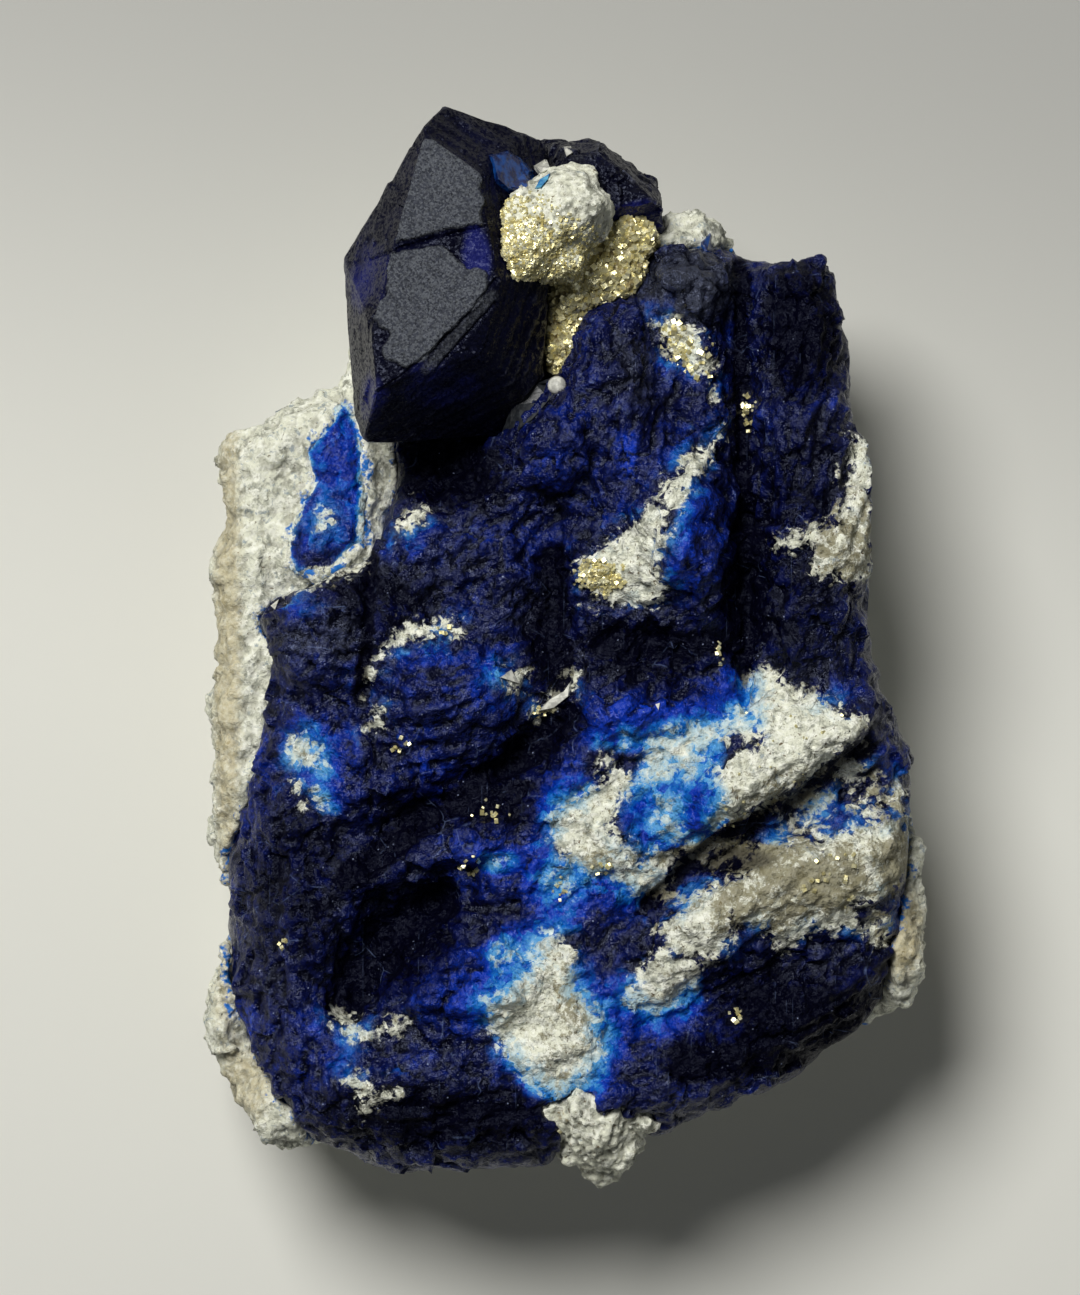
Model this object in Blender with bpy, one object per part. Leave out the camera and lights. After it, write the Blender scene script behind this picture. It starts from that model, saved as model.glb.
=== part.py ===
"""A lazurite specimen from a marble vein, lying on its back.

A dark blue lazurite mass sits on white calcite marble, with one large lazurite crystal, a smaller
crystal behind it, and calcite and pyrite grown in between. The marble's back is broken flat and
rests on the surface.

The frame: x to the right, y towards the crystal end, z out of the display face. Every length in
the tables below is in millimetres from the middle of the specimen's outline and from its flat back.
"""

import math

import bmesh
import bpy
from mathutils import Vector, geometry, noise

MM = 0.001

# Driving dimensions, in millimetres
MASS_BACK = 18.5  # the mean height of the contact between the lazurite mass and the marble
MASS_FRONT = 36.0  # the mean height of the lazurite mass
MARBLE_BED = 22.5  # the marble round the mass, before the mass's seat is cut
SEAT_GAP = 0.35  # between a grown-in piece and its seat

# The outlines, clockwise as seen from the front
MASS_OUTLINE = [
    (8.5, 39.8), (12.7, 40.5), (17.2, 39.8), (18.9, 39.0), (22.7, 39.0), (26.2, 39.6), (27.5, 38.2),
    (27.7, 31.8), (28.6, 28.3), (28.9, 21.8), (29.6, 14.8), (30.0, 6.8), (30.4, 0.8), (31.7, -4.2),
    (33.5, -9.7), (34.6, -14.2), (34.6, -21.2), (33.9, -27.2), (32.6, -32.7), (30.5, -37.4),
    (28.7, -39.7), (24.7, -41.8), (19.9, -45.0), (13.7, -47.0), (8.9, -49.5), (3.7, -50.7),
    (-3.3, -52.4), (-9.3, -52.4), (-16.3, -53.0), (-19.3, -51.7), (-23.8, -50.2), (-27.3, -47.4),
    (-30.1, -43.7), (-32.3, -39.2), (-33.3, -34.2), (-33.4, -28.2), (-33.2, -22.2), (-32.5, -17.2),
    (-31.1, -12.2), (-30.0, -8.2), (-30.2, -5.2), (-29.2, -1.7), (-29.5, 0.3), (-31.0, 2.8),
    (-29.3, 4.5), (-27.3, 5.8), (-22.8, 7.6), (-20.1, 8.5), (-18.5, 11.0), (-16.5, 14.3),
    (-16.5, 17.8), (-17.1, 20.8), (-15.8, 23.3), (-9.3, 23.8), (-5.5, 22.8), (-3.3, 24.8),
    (-1.1, 27.0), (0.0, 30.3), (1.7, 33.0), (3.9, 34.3), (6.5, 34.8), (7.6, 37.3),
]
MARBLE_OUTLINE = [
    (-11.8, 48.3), (-6.3, 48.6), (-0.3, 47.6), (4.7, 46.4), (9.0, 44.2), (13.5, 44.2), (16.2, 42.2),
    (17.6, 39.4), (20.5, 36.4), (24.6, 36.2), (26.0, 31.8), (27.0, 24.8), (27.6, 17.8),
    (28.2, 6.8), (28.7, -0.2), (31.2, -9.7), (34.4, -15.2), (36.0, -19.5), (36.6, -25.5),
    (36.8, -30.5), (36.5, -34.2), (35.0, -36.8), (31.0, -38.2), (26.2, -38.9), (21.2, -41.5),
    (12.2, -44.7), (6.5, -47.6), (3.2, -48.6), (-1.3, -49.2), (-9.3, -49.8), (-17.3, -49.8),
    (-23.3, -49.9), (-26.9, -51.2), (-30.4, -49.4), (-33.0, -45.4), (-35.3, -42.2), (-36.1, -39.2),
    (-35.9, -35.7), (-34.9, -31.2), (-34.2, -26.4), (-34.4, -21.9), (-35.9, -20.6), (-36.3, -19.0),
    (-35.7, -12.2), (-35.6, -5.2), (-35.2, 0.8), (-35.7, 7.8), (-34.5, 12.8), (-33.5, 15.2),
    (-34.9, 17.4), (-35.2, 20.8), (-34.2, 22.5), (-32.2, 22.5), (-26.9, 24.9), (-22.2, 26.5),
    (-21.9, 31.8), (-20.7, 35.8), (-18.3, 41.0), (-15.0, 46.0),
]

# Where the flow of the folds turns round: they run in arcs about this point
FOLD_CENTRE = (-23.0, 32.0)

# Forms of the mass's front: ridges are (points, half width, rise), swells (middle, radii, rise)
MASS_RIDGES = {
    "right column": ([(24.2, 42), (24.6, 20), (25.2, 2)], 5.0, 2.8),
    "middle hill": ([(4.6, 34), (5.4, 25), (7.6, 17), (10.5, 10)], 4.8, 3.6),
    "calcite rib": ([(29.0, -7.5), (22.0, -11.5), (16.5, -16.0)], 4.2, 3.6),
    "lower rib": ([(33.0, -20.0), (22.0, -23.5), (10.0, -29.5)], 3.8, 2.6),
    "diagonal rib": ([(16.0, -1.0), (4.0, -7.5), (-7.0, -16.5), (-20.0, -22.5)], 3.2, 2.4),
    "side rib": ([(-20.0, -12.0), (-24.5, -24.0), (-24.0, -38.0)], 3.2, 1.6),
    "foot swell": ([(-20.0, -43.0), (0.0, -45.5), (12.0, -41.5)], 5.0, 1.6),
    "column groove": ([(17.9, 40), (17.7, 24), (18.4, 10), (18.2, -5)], 1.9, -4.6),
    "middle gully": ([(-2.4, 13), (-1.4, 2), (-0.4, -4.0), (-4.5, -11)], 2.4, -3.6),
    "long gully": ([(0.5, -8.5), (-6.0, -13.2), (-14.0, -17.6), (-23.0, -21.0)], 2.8, -3.6),
    "rib gully": ([(29.5, -13.0), (22.0, -17.8), (14.0, -22.4), (7.5, -26.4)], 2.3, -4.2),
    "wedge hollow": ([(-12.5, -24.5), (-17.5, -28.5), (-22.0, -34.5)], 4.0, -4.6),
    "foot gully": ([(31.0, -29.5), (20.0, -33.0), (8.0, -38.5)], 3.2, -2.0),
    "hill crease": ([(9.9, 34), (9.4, 26), (10.4, 21)], 1.5, -2.6),
    "knob crease": ([(-4.0, 13.5), (2.0, 13.8), (4.0, 20.0)], 1.5, -1.6),
}
MASS_SWELLS = {
    "top block": ((12.8, 36.4), (6.0, 5.5), 2.6),
    "hanging lobe": ((13.4, 11.0), (5.2, 9.2), 4.0),
    "round knob": ((-1.2, 20.4), (4.4, 5.4), 3.6),
    "low dome": ((-11.5, -4.8), (8.0, 6.4), 3.2),
    "shoulder block": ((-24.0, 1.8), (8.6, 7.4), 3.0),
    "lit facet": ((-10.0, -34.0), (8.0, 5.6), 3.0),
    "hollow under the crystal": ((-11.5, 18.5), (8.5, 7.5), -7.0),
    "hollow under the lobe": ((11.5, -2.6), (8.5, 3.8), -4.2),
    "left flank": ((-37.0, -30.0), (10.0, 30.0), -6.0),
}

# Forms of the marble's front
MARBLE_SWELLS = {
    "left plate": ((-29.0, 6.0), (16.0, 40.0), 4.8),
    "crystal root": ((-15.0, 32.0), (16.0, 20.0), 4.2),
    "rear shelf": ((8.0, 43.0), (14.0, 10.0), 7.8),
    "foot lump": ((-29.6, -47.6), (5.5, 6.0), 7.8),
    "lower left rim": ((-36.0, -36.0), (4.5, 12.0), 4.8),
    "lower right rim": ((37.0, -28.0), (7.0, 14.0), 7.4),
}


def mm(*lengths):
    return Vector(length * MM for length in lengths)


def clear_scene():
    for obj in list(bpy.data.objects):
        bpy.data.objects.remove(obj)


def stone_material(name, colour, roughness, metallic=0.0):
    made = bpy.data.materials.new(name)
    made.use_nodes = True
    shader = made.node_tree.nodes["Principled BSDF"]
    shader.inputs["Base Color"].default_value = (*colour, 1.0)
    shader.inputs["Roughness"].default_value = roughness
    shader.inputs["Metallic"].default_value = metallic
    return made


def bell(t):
    """1 at t = 0, falling smoothly to 0 at t = 1 and beyond."""
    return (1 - t * t) ** 2 if t < 1 else 0.0


def plateau(t):
    """1 as far as t = 0.5, then falling smoothly to 0 at t = 1."""
    t = min(max(2 * t - 1, 0.0), 1.0)
    return 1 - t * t * (3 - 2 * t)


def nearest_on_line(x, y, line):
    """The point of a broken line, or of a single point, that is nearest to x, y."""
    here, nearest = Vector((x, y)), Vector(line[0])
    for a, b in zip(map(Vector, line), map(Vector, line[1:])):
        along = min(max((here - a).dot(b - a) / (b - a).length_squared, 0.0), 1.0)
        place = a.lerp(b, along)
        if (place - here).length < (nearest - here).length:
            nearest = place
    return nearest


def distance_to_line(x, y, line):
    return (nearest_on_line(x, y, line) - Vector((x, y))).length


def swell_share(x, y, middle, radii, fall=bell):
    return fall(math.hypot((x - middle[0]) / radii[0], (y - middle[1]) / radii[1]))


def folds(x, y, across=3.2, along=11.0):
    """Long low folds that run in arcs about FOLD_CENTRE, from -1 to 1."""
    dx, dy = x - FOLD_CENTRE[0], y - FOLD_CENTRE[1]
    radius = math.hypot(dx, dy)
    arc = math.atan2(dy, dx) * 42.0
    wander = 2.2 * noise.noise(Vector((x / 9, y / 9, 4.0)))
    return 2 * noise.noise(Vector(((radius + wander) / across, arc / along, 1.7)))


def lumps(x, y, size, layer):
    return 2 * noise.noise(Vector((x / size, y / size, layer)))


def mass_front(x, y):
    height = MASS_FRONT - 1.6 * (x / 34) ** 2 - 2.0 * (y / 52) ** 2
    for line, half_width, rise in MASS_RIDGES.values():
        height += rise * bell(distance_to_line(x, y, line) / (1.5 * half_width))
    for middle, radii, rise in MASS_SWELLS.values():
        height += rise * swell_share(x, y, middle, radii, plateau if rise > 0 else bell)
    return height + 0.85 * folds(x, y) + 0.35 * lumps(x, y, 3.5, 2.0)


def mass_back(x, y):
    return MASS_BACK + 2.2 * lumps(x, y, 13.0, 12.0)


def level(height):
    """A flat back at a height."""
    return lambda x, y: height


def marble_front(x, y):
    rise = max(
        most * swell_share(x, y, middle, radii, plateau)
        for middle, radii, most in MARBLE_SWELLS.values())
    return MARBLE_BED + rise + 0.5 * lumps(x, y, 3.0, 6.0) + 0.5 * lumps(x, y, 6.5, 3.0)


def round_outline(points, count):
    """count points evenly spaced along a smooth closed curve through the given ones."""
    curve = []
    steps = 8
    for i in range(len(points)):
        p0, p1, p2, p3 = (Vector(points[(i + k) % len(points)]) for k in (-1, 0, 1, 2))
        for s in range(steps):
            t = s / steps
            curve.append(
                0.5 * (2 * p1 + (p2 - p0) * t + (2 * p0 - 5 * p1 + 4 * p2 - p3) * t**2
                       + (3 * p1 - p0 - 3 * p2 + p3) * t**3)
            )
    gaps = [(curve[(i + 1) % len(curve)] - p).length for i, p in enumerate(curve)]
    step = sum(gaps) / count
    spaced, walked, i = [], 0.0, 0
    for k in range(count):
        while walked + gaps[i] < k * step:
            walked += gaps[i]
            i += 1
        share = (k * step - walked) / gaps[i]
        spaced.append(curve[i].lerp(curve[(i + 1) % len(curve)], share))
    return spaced


def inside(place, loop):
    """Whether a place lies within a closed loop."""
    within = False
    for a, b in zip(loop, loop[1:] + loop[:1]):
        if (a.y > place.y) != (b.y > place.y):
            within ^= place.x < a.x + (b.x - a.x) * (place.y - a.y) / (b.y - a.y)
    return within


def inner_places(loop, cell):
    """Uneven rows of places inside a loop, about one cell apart and clear of the loop."""
    low_x, high_x = min(p.x for p in loop), max(p.x for p in loop)
    low_y, high_y = min(p.y for p in loop), max(p.y for p in loop)
    places = []
    for row in range(int((high_y - low_y) / (0.87 * cell)) + 1):
        for column in range(int((high_x - low_x) / cell) + 1):
            x = low_x + (column + 0.5 * (row % 2)) * cell
            y = low_y + row * 0.87 * cell
            place = Vector((x + 0.5 * cell * lumps(x, y, 1.3, 21.0), y + 0.5 * cell * lumps(x, y, 1.3, 33.0)))
            if inside(place, loop) and distance_to_line(*place, loop + loop[:1]) > 0.55 * cell:
                places.append(place)
    return places


def outward(loop):
    """The outward direction at each point of a clockwise loop."""
    around = zip(loop[-1:] + loop[:-1], loop[1:] + loop[:1])
    return [Vector((before.y - after.y, after.x - before.x)).normalized() for before, after in around]


def uneven_edge(outline, count, jag=0.3):
    smooth = round_outline(outline, count)
    return [p + out * jag * lumps(p.x, p.y, 2.2, 9.0) for p, out in zip(smooth, outward(smooth))]


def stone(name, edge, front, back, material, cell, sides, keep=1.0, rim=1.5, drop=1.0, waist=0.3,
          undercut=0.0):
    """A closed stone with its front at height front(x, y) and its back's edge at back(x, y).

    Its front rounds over by drop within rim of the edge, its wall is uneven by waist, and it
    narrows towards the back by the share undercut. keep is the share of its triangles that are
    left in the end.
    """
    count = len(edge)
    flat = edge + inner_places(edge, cell)
    triangles = geometry.delaunay_2d_cdt(flat, [], [list(range(count))], 1, 1e-5)[2]

    mesh = bmesh.new()
    cap = []
    for p in flat:
        inward = 1 - min(distance_to_line(*p, edge + edge[:1]) / rim, 1.0)
        height = front(*p) - drop * (1 - math.sqrt(1 - inward**2))
        cap.append(mesh.verts.new(mm(*p, height)))
    for triangle in triangles:
        mesh.faces.new([cap[i] for i in triangle])

    middle = sum(edge, Vector((0, 0))) / count
    upper = cap[:count]
    for k in range(1, sides + 1):
        t = k / sides
        lower = []
        for p, out, top in zip(edge, outward(edge), cap):
            height = top.co.z / MM * (1 - t) + back(*p) * t
            push = waist * math.sin(math.pi * t) * 2 * noise.noise(Vector((*p, height)) / 6)
            place = p.lerp(middle, undercut * t * t) + out * push
            lower.append(mesh.verts.new(mm(*place, height)))
        for j in range(count):
            following = (j + 1) % count
            mesh.faces.new((upper[j], upper[following], lower[following], lower[j]))
        upper = lower
    mesh.faces.new(upper)
    bmesh.ops.triangulate(mesh, faces=mesh.faces)
    bmesh.ops.recalc_face_normals(mesh, faces=mesh.faces)
    obj = object_of(name, mesh, material)
    if keep < 1:
        fewer = obj.modifiers.new("fewer facets", "DECIMATE")
        fewer.ratio = keep
    return obj


def object_of(name, mesh, material=None):
    data = bpy.data.meshes.new(name)
    mesh.to_mesh(data)
    mesh.free()
    obj = bpy.data.objects.new(name, data)
    bpy.context.scene.collection.objects.link(obj)
    if material:
        data.materials.append(material)
    return obj


def as_cutter(obj):
    obj.hide_render = True
    obj.display_type = "WIRE"
    return obj


def grown_copy(obj, by=SEAT_GAP):
    """A hidden copy, larger all round, that cuts the piece's seat."""
    copy = obj.copy()
    copy.name = obj.name + "_seat"
    bpy.context.scene.collection.objects.link(copy)
    swell = copy.modifiers.new("seat gap", "DISPLACE")
    swell.strength = by * MM
    swell.mid_level = 0.0
    return as_cutter(copy)


def seat(obj, *cutters):
    for cutter in cutters:
        modifier = obj.modifiers.new(cutter.name, "BOOLEAN")
        modifier.operation = "DIFFERENCE"
        modifier.object = cutter
        modifier.solver = "EXACT"


def crystal(name, faces, material, size=30.0, bevel=0.25):
    """A crystal cut from a block: each face is (outward normal, a point on it)."""
    mesh = bmesh.new()
    bmesh.ops.create_cube(mesh, size=2 * size * MM)
    middle = mm(*(sum(point[i] for _, point in faces) / len(faces) for i in range(3)))
    bmesh.ops.translate(mesh, verts=mesh.verts, vec=middle)
    for normal, point in faces:
        cut = bmesh.ops.bisect_plane(
            mesh, geom=mesh.verts[:] + mesh.edges[:] + mesh.faces[:], dist=1e-7,
            plane_co=mm(*point), plane_no=Vector(normal).normalized(), clear_outer=True,
        )
        rim = [e for e in cut["geom_cut"] if isinstance(e, bmesh.types.BMEdge)]
        bmesh.ops.edgeloop_fill(mesh, edges=rim)
    bmesh.ops.recalc_face_normals(mesh, faces=mesh.faces)
    obj = object_of(name, mesh, material)
    if bevel:
        edges = obj.modifiers.new("worn edges", "BEVEL")
        edges.width = bevel * MM
        edges.segments = 1
    return obj


# The large crystal's faces, its front first
CRYSTAL_FACES = {
    "front": ((0.0, 0.10, 0.995), (-12.0, 37.0, 46.6)),
    "front strip": ((0.38, -0.26, 0.89), (-6.7, 36.2, 46.7)),
    "upper left": ((-0.84, 0.28, 0.465), (-16.4, 39.6, 46.3)),
    "left": ((-0.96, -0.05, 0.25), (-18.7, 28.0, 46.8)),
    "left back": ((-0.90, -0.10, -0.43), (-22.0, 39.0, 36.5)),
    "top": ((0.43, 0.66, 0.62), (-13.6, 50.1, 45.3)),
    "top left": ((-0.82, 0.56, -0.06), (-17.7, 45.0, 38.5)),
    "top back": ((0.22, 0.96, -0.20), (-8.5, 52.5, 38.0)),
    "right top": ((0.66, 0.56, 0.50), (-4.2, 48.6, 42.6)),
    "right": ((0.80, 0.20, 0.56), (-7.4, 41.2, 46.2)),
    "lower right": ((0.82, -0.30, 0.50), (-4.4, 33.6, 42.0)),
    "right side": ((1.0, -0.06, 0.0), (-1.7, 33.0, 35.0)),
    "right low": ((0.80, -0.60, 0.05), (-3.4, 25.6, 36.0)),
    "underside": ((0.40, -0.78, 0.48), (-12.2, 27.0, 45.6)),
    "foot": ((-0.04, -0.98, -0.18), (-14.0, 21.2, 34.0)),
    "foot left": ((-0.92, -0.38, 0.05), (-20.9, 22.8, 34.0)),
    "root": ((0.0, 0.0, -1.0), (-12.0, 36.0, 21.5)),
    "root right": ((0.75, 0.10, -0.65), (-3.5, 36.0, 30.0)),
}
REAR_CRYSTAL_FACES = {
    "front": ((0.05, 0.30, 0.95), (4.5, 46.5, 36.6)),
    "left": ((-0.88, 0.30, 0.36), (-0.6, 48.0, 35.0)),
    "top": ((0.0, 0.97, 0.25), (1.5, 50.2, 33.0)),
    "top right": ((0.65, 0.73, 0.20), (7.2, 47.2, 33.0)),
    "right": ((0.98, 0.10, 0.0), (9.9, 43.6, 32.0)),
    "foot": ((0.25, -0.90, 0.35), (6.5, 42.9, 34.5)),
    "foot left": ((-0.70, -0.66, 0.28), (0.2, 43.5, 33.0)),
    "back": ((0.10, 0.80, -0.60), (4.0, 49.6, 27.0)),
    "root": ((0.0, 0.0, -1.0), (4.0, 45.0, 22.5)),
}

# The nodules are swollen lobes: (middle, radii)
NODULE_LOBES = [
    ((-1.8, 41.4, 37.6), (5.0, 5.4, 7.0)), ((0.6, 43.4, 38.6), (4.2, 4.4, 6.6)),
    ((-4.6, 40.2, 40.0), (4.2, 4.8, 6.4)),
]
FOOT_LOBES = [
    ((2.8, -48.0, 28.8), (5.2, 4.4, 6.4)), ((1.0, -46.0, 30.0), (5.4, 3.4, 6.4)),
    ((4.2, -49.8, 27.4), (3.8, 4.2, 6.0)), ((6.0, -46.8, 30.2), (3.2, 3.0, 4.6)),
]


def reach(ray, lobe, start):
    """How far a ray from start goes before it leaves an egg-shaped lobe."""
    middle, radii = lobe
    go = Vector(c / r for c, r in zip(ray, radii))
    off = Vector((s - m) / r for s, m, r in zip(start, middle, radii))
    half = off.dot(go) / go.dot(go)
    inner = half * half - (off.dot(off) - 1) / go.dot(go)
    return math.sqrt(inner) - half if inner > 0 else 0.0


def lump(name, lobes, material, roughness=0.14, size=2.6, layer=0.0):
    """A nodule of lobes grown into each other, seen from the middle of the first, and made uneven."""
    mesh = bmesh.new()
    bmesh.ops.create_icosphere(mesh, subdivisions=3, radius=1.0)
    start = Vector(lobes[0][0])
    for vert in mesh.verts:
        far = max(reach(vert.co, lobe, start) for lobe in lobes)
        uneven = 1 + roughness * 2 * noise.noise(vert.co * far / size + Vector((layer, 0, 0)))
        vert.co = (start + vert.co * far * uneven) * MM
    bmesh.ops.recalc_face_normals(mesh, faces=mesh.faces)
    return object_of(name, mesh, material)


def inlay(name, outline, proud, depth, material, surface=mass_front, count=30, cell=1.9, layer=0.0):
    """A body grown into the front, and the block that cuts its seat out to the front.

    Its face follows the surface, standing proud in its middle.
    """
    edge = uneven_edge(outline, count)
    floor_height = min(surface(*p) for p in edge) - depth

    def front(x, y):
        return surface(x, y) + proud + 0.35 * lumps(x, y, 2.2, layer)

    body = stone(name, edge, front, level(floor_height), material, cell, 1, rim=1.6,
                 drop=proud + 0.3)
    wider = [p + out * SEAT_GAP for p, out in zip(edge, outward(edge))]
    block = bmesh.new()
    floor = block.faces.new([block.verts.new(mm(*p, floor_height - SEAT_GAP)) for p in wider])
    raised = bmesh.ops.extrude_face_region(block, geom=[floor])["geom"]
    tops = [v for v in raised if isinstance(v, bmesh.types.BMVert)]
    bmesh.ops.translate(block, verts=tops, vec=mm(0, 0, 25))
    bmesh.ops.recalc_face_normals(block, faces=block.faces)
    return body, as_cutter(object_of(name + "_seat", block))


# The outlines of the bodies grown into the front, and of the pyrite between the crystals
VEIN = [
    (15.8, 22.4), (14.6, 19.4), (11.6, 16.2), (10.2, 13.8), (9.6, 10.8), (9.2, 7.8), (10.4, 5.2),
    (8.6, 3.8), (5.6, 4.2), (3.4, 5.4), (1.4, 7.4), (2.0, 9.2), (4.6, 10.6), (7.6, 13.6),
    (10.2, 17.2), (13.6, 21.0), (14.8, 22.8),
]
POCKET = [
    (9.2, 32.8), (12.0, 32.4), (14.4, 30.6), (16.0, 28.0), (14.6, 26.8), (12.0, 28.4), (9.8, 29.4),
]
RIGHT_LEDGE = [
    (28.2, 21.4), (29.8, 21.0), (30.4, 17.0), (30.3, 11.0), (30.2, 7.0), (28.2, 7.0), (24.6, 7.6),
    (24.4, 9.8), (21.4, 10.4), (22.6, 11.8), (25.4, 12.4), (27.8, 14.6), (28.6, 17.6),
]
RIB_CAP = [
    (20.2, -2.6), (22.2, -3.2), (24.4, -5.4), (27.4, -6.6), (30.0, -7.6), (29.4, -9.2), (26.0, -10.8),
    (23.4, -12.4), (22.0, -15.2), (18.4, -18.2), (15.8, -18.6), (15.4, -15.6), (17.4, -12.4),
    (15.2, -9.4), (18.2, -6.2),
]
LOWER_PATCH = [
    (-1.6, -28.4), (1.2, -29.0), (2.0, -31.6), (3.4, -35.0), (3.8, -39.4), (1.6, -42.6), (-0.8, -44.6),
    (-3.6, -43.4), (-4.4, -40.4), (-7.2, -37.6), (-6.8, -34.2), (-4.0, -32.4), (-2.8, -30.0),
]
LEFT_PATCH = [
    (-22.2, 24.4), (-20.9, 22.8), (-20.4, 19.0), (-20.6, 14.0), (-20.8, 10.8), (-23.4, 8.2),
    (-26.8, 8.0), (-27.8, 9.6), (-26.6, 13.6), (-25.0, 16.6), (-25.8, 20.0), (-23.8, 22.0),
]
PYRITE_BODY = [
    (1.0, 42.4), (4.0, 43.0), (7.4, 43.0), (9.0, 41.6), (8.2, 39.4), (7.2, 36.2), (4.2, 35.0),
    (2.4, 34.2), (1.2, 31.4), (0.6, 28.2), (-0.8, 27.4), (-1.6, 29.4), (-1.4, 33.0), (-0.8, 36.0),
    (-1.0, 39.6),
]


def pyrite_front(x, y):
    return 36.0 - 0.12 * (42.0 - y) + 0.5 * lumps(x, y, 2.0, 8.0)


def build():
    clear_scene()
    lazurite = stone_material("lazurite", (0.012, 0.014, 0.10), 0.45)
    frosted = stone_material("frosted_lazurite", (0.03, 0.03, 0.075), 0.5)
    calcite = stone_material("calcite", (0.78, 0.77, 0.70), 0.6)
    marble = stone_material("marble", (0.62, 0.61, 0.55), 0.7)
    pyrite = stone_material("pyrite", (0.62, 0.50, 0.24), 0.35, 1.0)

    mass = stone("lazurite_mass", uneven_edge(MASS_OUTLINE, 110, 0.4), mass_front, mass_back,
                 lazurite, 1.9, 3, keep=0.7, rim=3.5, drop=3.0, waist=1.1)
    matrix = stone("marble_matrix", uneven_edge(MARBLE_OUTLINE, 110, 0.5), marble_front,
                   level(0.0), marble, 2.1, 5, keep=0.45, rim=2.2, drop=2.0, waist=1.4,
                   undercut=0.1)
    large = crystal("lazurite_crystal", CRYSTAL_FACES.values(), frosted)
    rear = crystal("rear_crystal", REAR_CRYSTAL_FACES.values(), frosted)
    nodule = lump("calcite_nodule", NODULE_LOBES, calcite)
    foot = lump("calcite_foot", FOOT_LOBES, calcite, layer=5.0)
    gold = stone("pyrite_aggregate", uneven_edge(PYRITE_BODY, 44), pyrite_front, level(24.0), pyrite,
                 1.8, 2, waist=0.2)
    _, vein_seat = inlay("calcite_vein", VEIN, 0.5, 2.5, calcite, count=44, layer=1.0)
    _, pocket_seat = inlay("pyrite_pocket", POCKET, 0.3, 2.0, pyrite, count=22, layer=2.0)
    _, ledge_seat = inlay("calcite_ledge", RIGHT_LEDGE, 0.2, 3.0, calcite, layer=3.0)
    _, rib_seat = inlay("calcite_rib", RIB_CAP, 0.8, 3.0, calcite, count=38, layer=4.0)
    patch, patch_seat = inlay("calcite_patch", LOWER_PATCH, 0.5, 2.5, calcite, count=36, layer=5.0)
    left, left_seat = inlay("lazurite_patch", LEFT_PATCH, 0.5, 2.5, lazurite, marble_front, 36,
                            layer=6.0)

    large_seat, rear_seat, nodule_seat, foot_seat, gold_seat, mass_seat = (
        grown_copy(piece) for piece in (large, rear, nodule, foot, gold, mass))
    seat(mass, large_seat, rear_seat, nodule_seat, foot_seat, gold_seat, vein_seat, pocket_seat,
         ledge_seat, rib_seat, patch_seat)
    seat(matrix, mass_seat, large_seat, rear_seat, nodule_seat, foot_seat, gold_seat, left_seat)
    seat(gold, large_seat, rear_seat, nodule_seat)
    seat(nodule, large_seat, rear_seat)
    seat(rear, large_seat)
    seat(left, mass_seat)
    seat(patch, foot_seat)


build()
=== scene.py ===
import random

import bmesh
import bpy
import numpy as np
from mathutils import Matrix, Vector
from mathutils.bvhtree import BVHTree


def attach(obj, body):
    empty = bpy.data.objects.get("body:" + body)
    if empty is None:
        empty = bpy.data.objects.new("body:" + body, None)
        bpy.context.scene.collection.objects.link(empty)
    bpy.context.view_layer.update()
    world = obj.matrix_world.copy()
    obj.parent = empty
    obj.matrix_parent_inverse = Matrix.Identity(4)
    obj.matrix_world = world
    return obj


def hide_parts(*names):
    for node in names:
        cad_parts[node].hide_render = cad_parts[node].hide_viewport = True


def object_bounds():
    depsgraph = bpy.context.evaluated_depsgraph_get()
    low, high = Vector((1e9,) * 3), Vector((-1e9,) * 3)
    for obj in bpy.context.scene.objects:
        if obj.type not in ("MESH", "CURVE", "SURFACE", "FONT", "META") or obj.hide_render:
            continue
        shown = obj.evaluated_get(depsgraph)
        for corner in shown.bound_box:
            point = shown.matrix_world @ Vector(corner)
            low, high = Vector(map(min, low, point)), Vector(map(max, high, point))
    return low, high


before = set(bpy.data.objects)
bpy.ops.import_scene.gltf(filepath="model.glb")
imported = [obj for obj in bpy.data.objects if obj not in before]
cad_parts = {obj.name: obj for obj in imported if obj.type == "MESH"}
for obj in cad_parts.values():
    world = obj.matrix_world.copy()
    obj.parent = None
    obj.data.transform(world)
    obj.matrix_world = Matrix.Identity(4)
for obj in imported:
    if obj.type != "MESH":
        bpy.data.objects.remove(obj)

# The looks of the lazurite specimen. Lengths are in millimetres unless a comment says otherwise.
# The last number given to noise, drawn_out, layered and chipped is a seed.

CAD_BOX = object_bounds()
MM = 0.001
PHOTO_MIDDLE = (563, 648)  # the pixel over the frame's origin
PIXELS_PER_MM = 10.0
FRONT_LEVEL = 35.0  # the height at which that scale holds
PHOTO_LENGTH = 129.5  # the photograph's longer side at that height
CAMERA_HEIGHT = 635.0
CAMERA_ACROSS = -2.3
SENSOR = 36.0
FOLD_CENTRE = (-23.0, 32.0)  # the folds run in arcs about this place
CRYSTAL_FRONT = 42.0  # faces of the large crystal that look up from above this height are its front
CRYSTAL_TOP = 46.5  # the mean height of that front
MARBLE_FOOT = 4.0  # the marble below this height isn't seen from the front
SEAT_LEVEL = 22.2  # the marble under the lazurite mass lies below this height
CONTACT_LEVEL = 12.0  # the marble's contact with the blue minerals is coloured above this height
CONTACT_REACH = 3.0
MOST_TRIES = 60000  # for each scatter of grains
BLOCK_FACES = ((0, 1, 3, 2), (4, 6, 7, 5), (0, 4, 5, 1), (2, 3, 7, 6), (0, 2, 6, 4), (1, 5, 7, 3))


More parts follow.
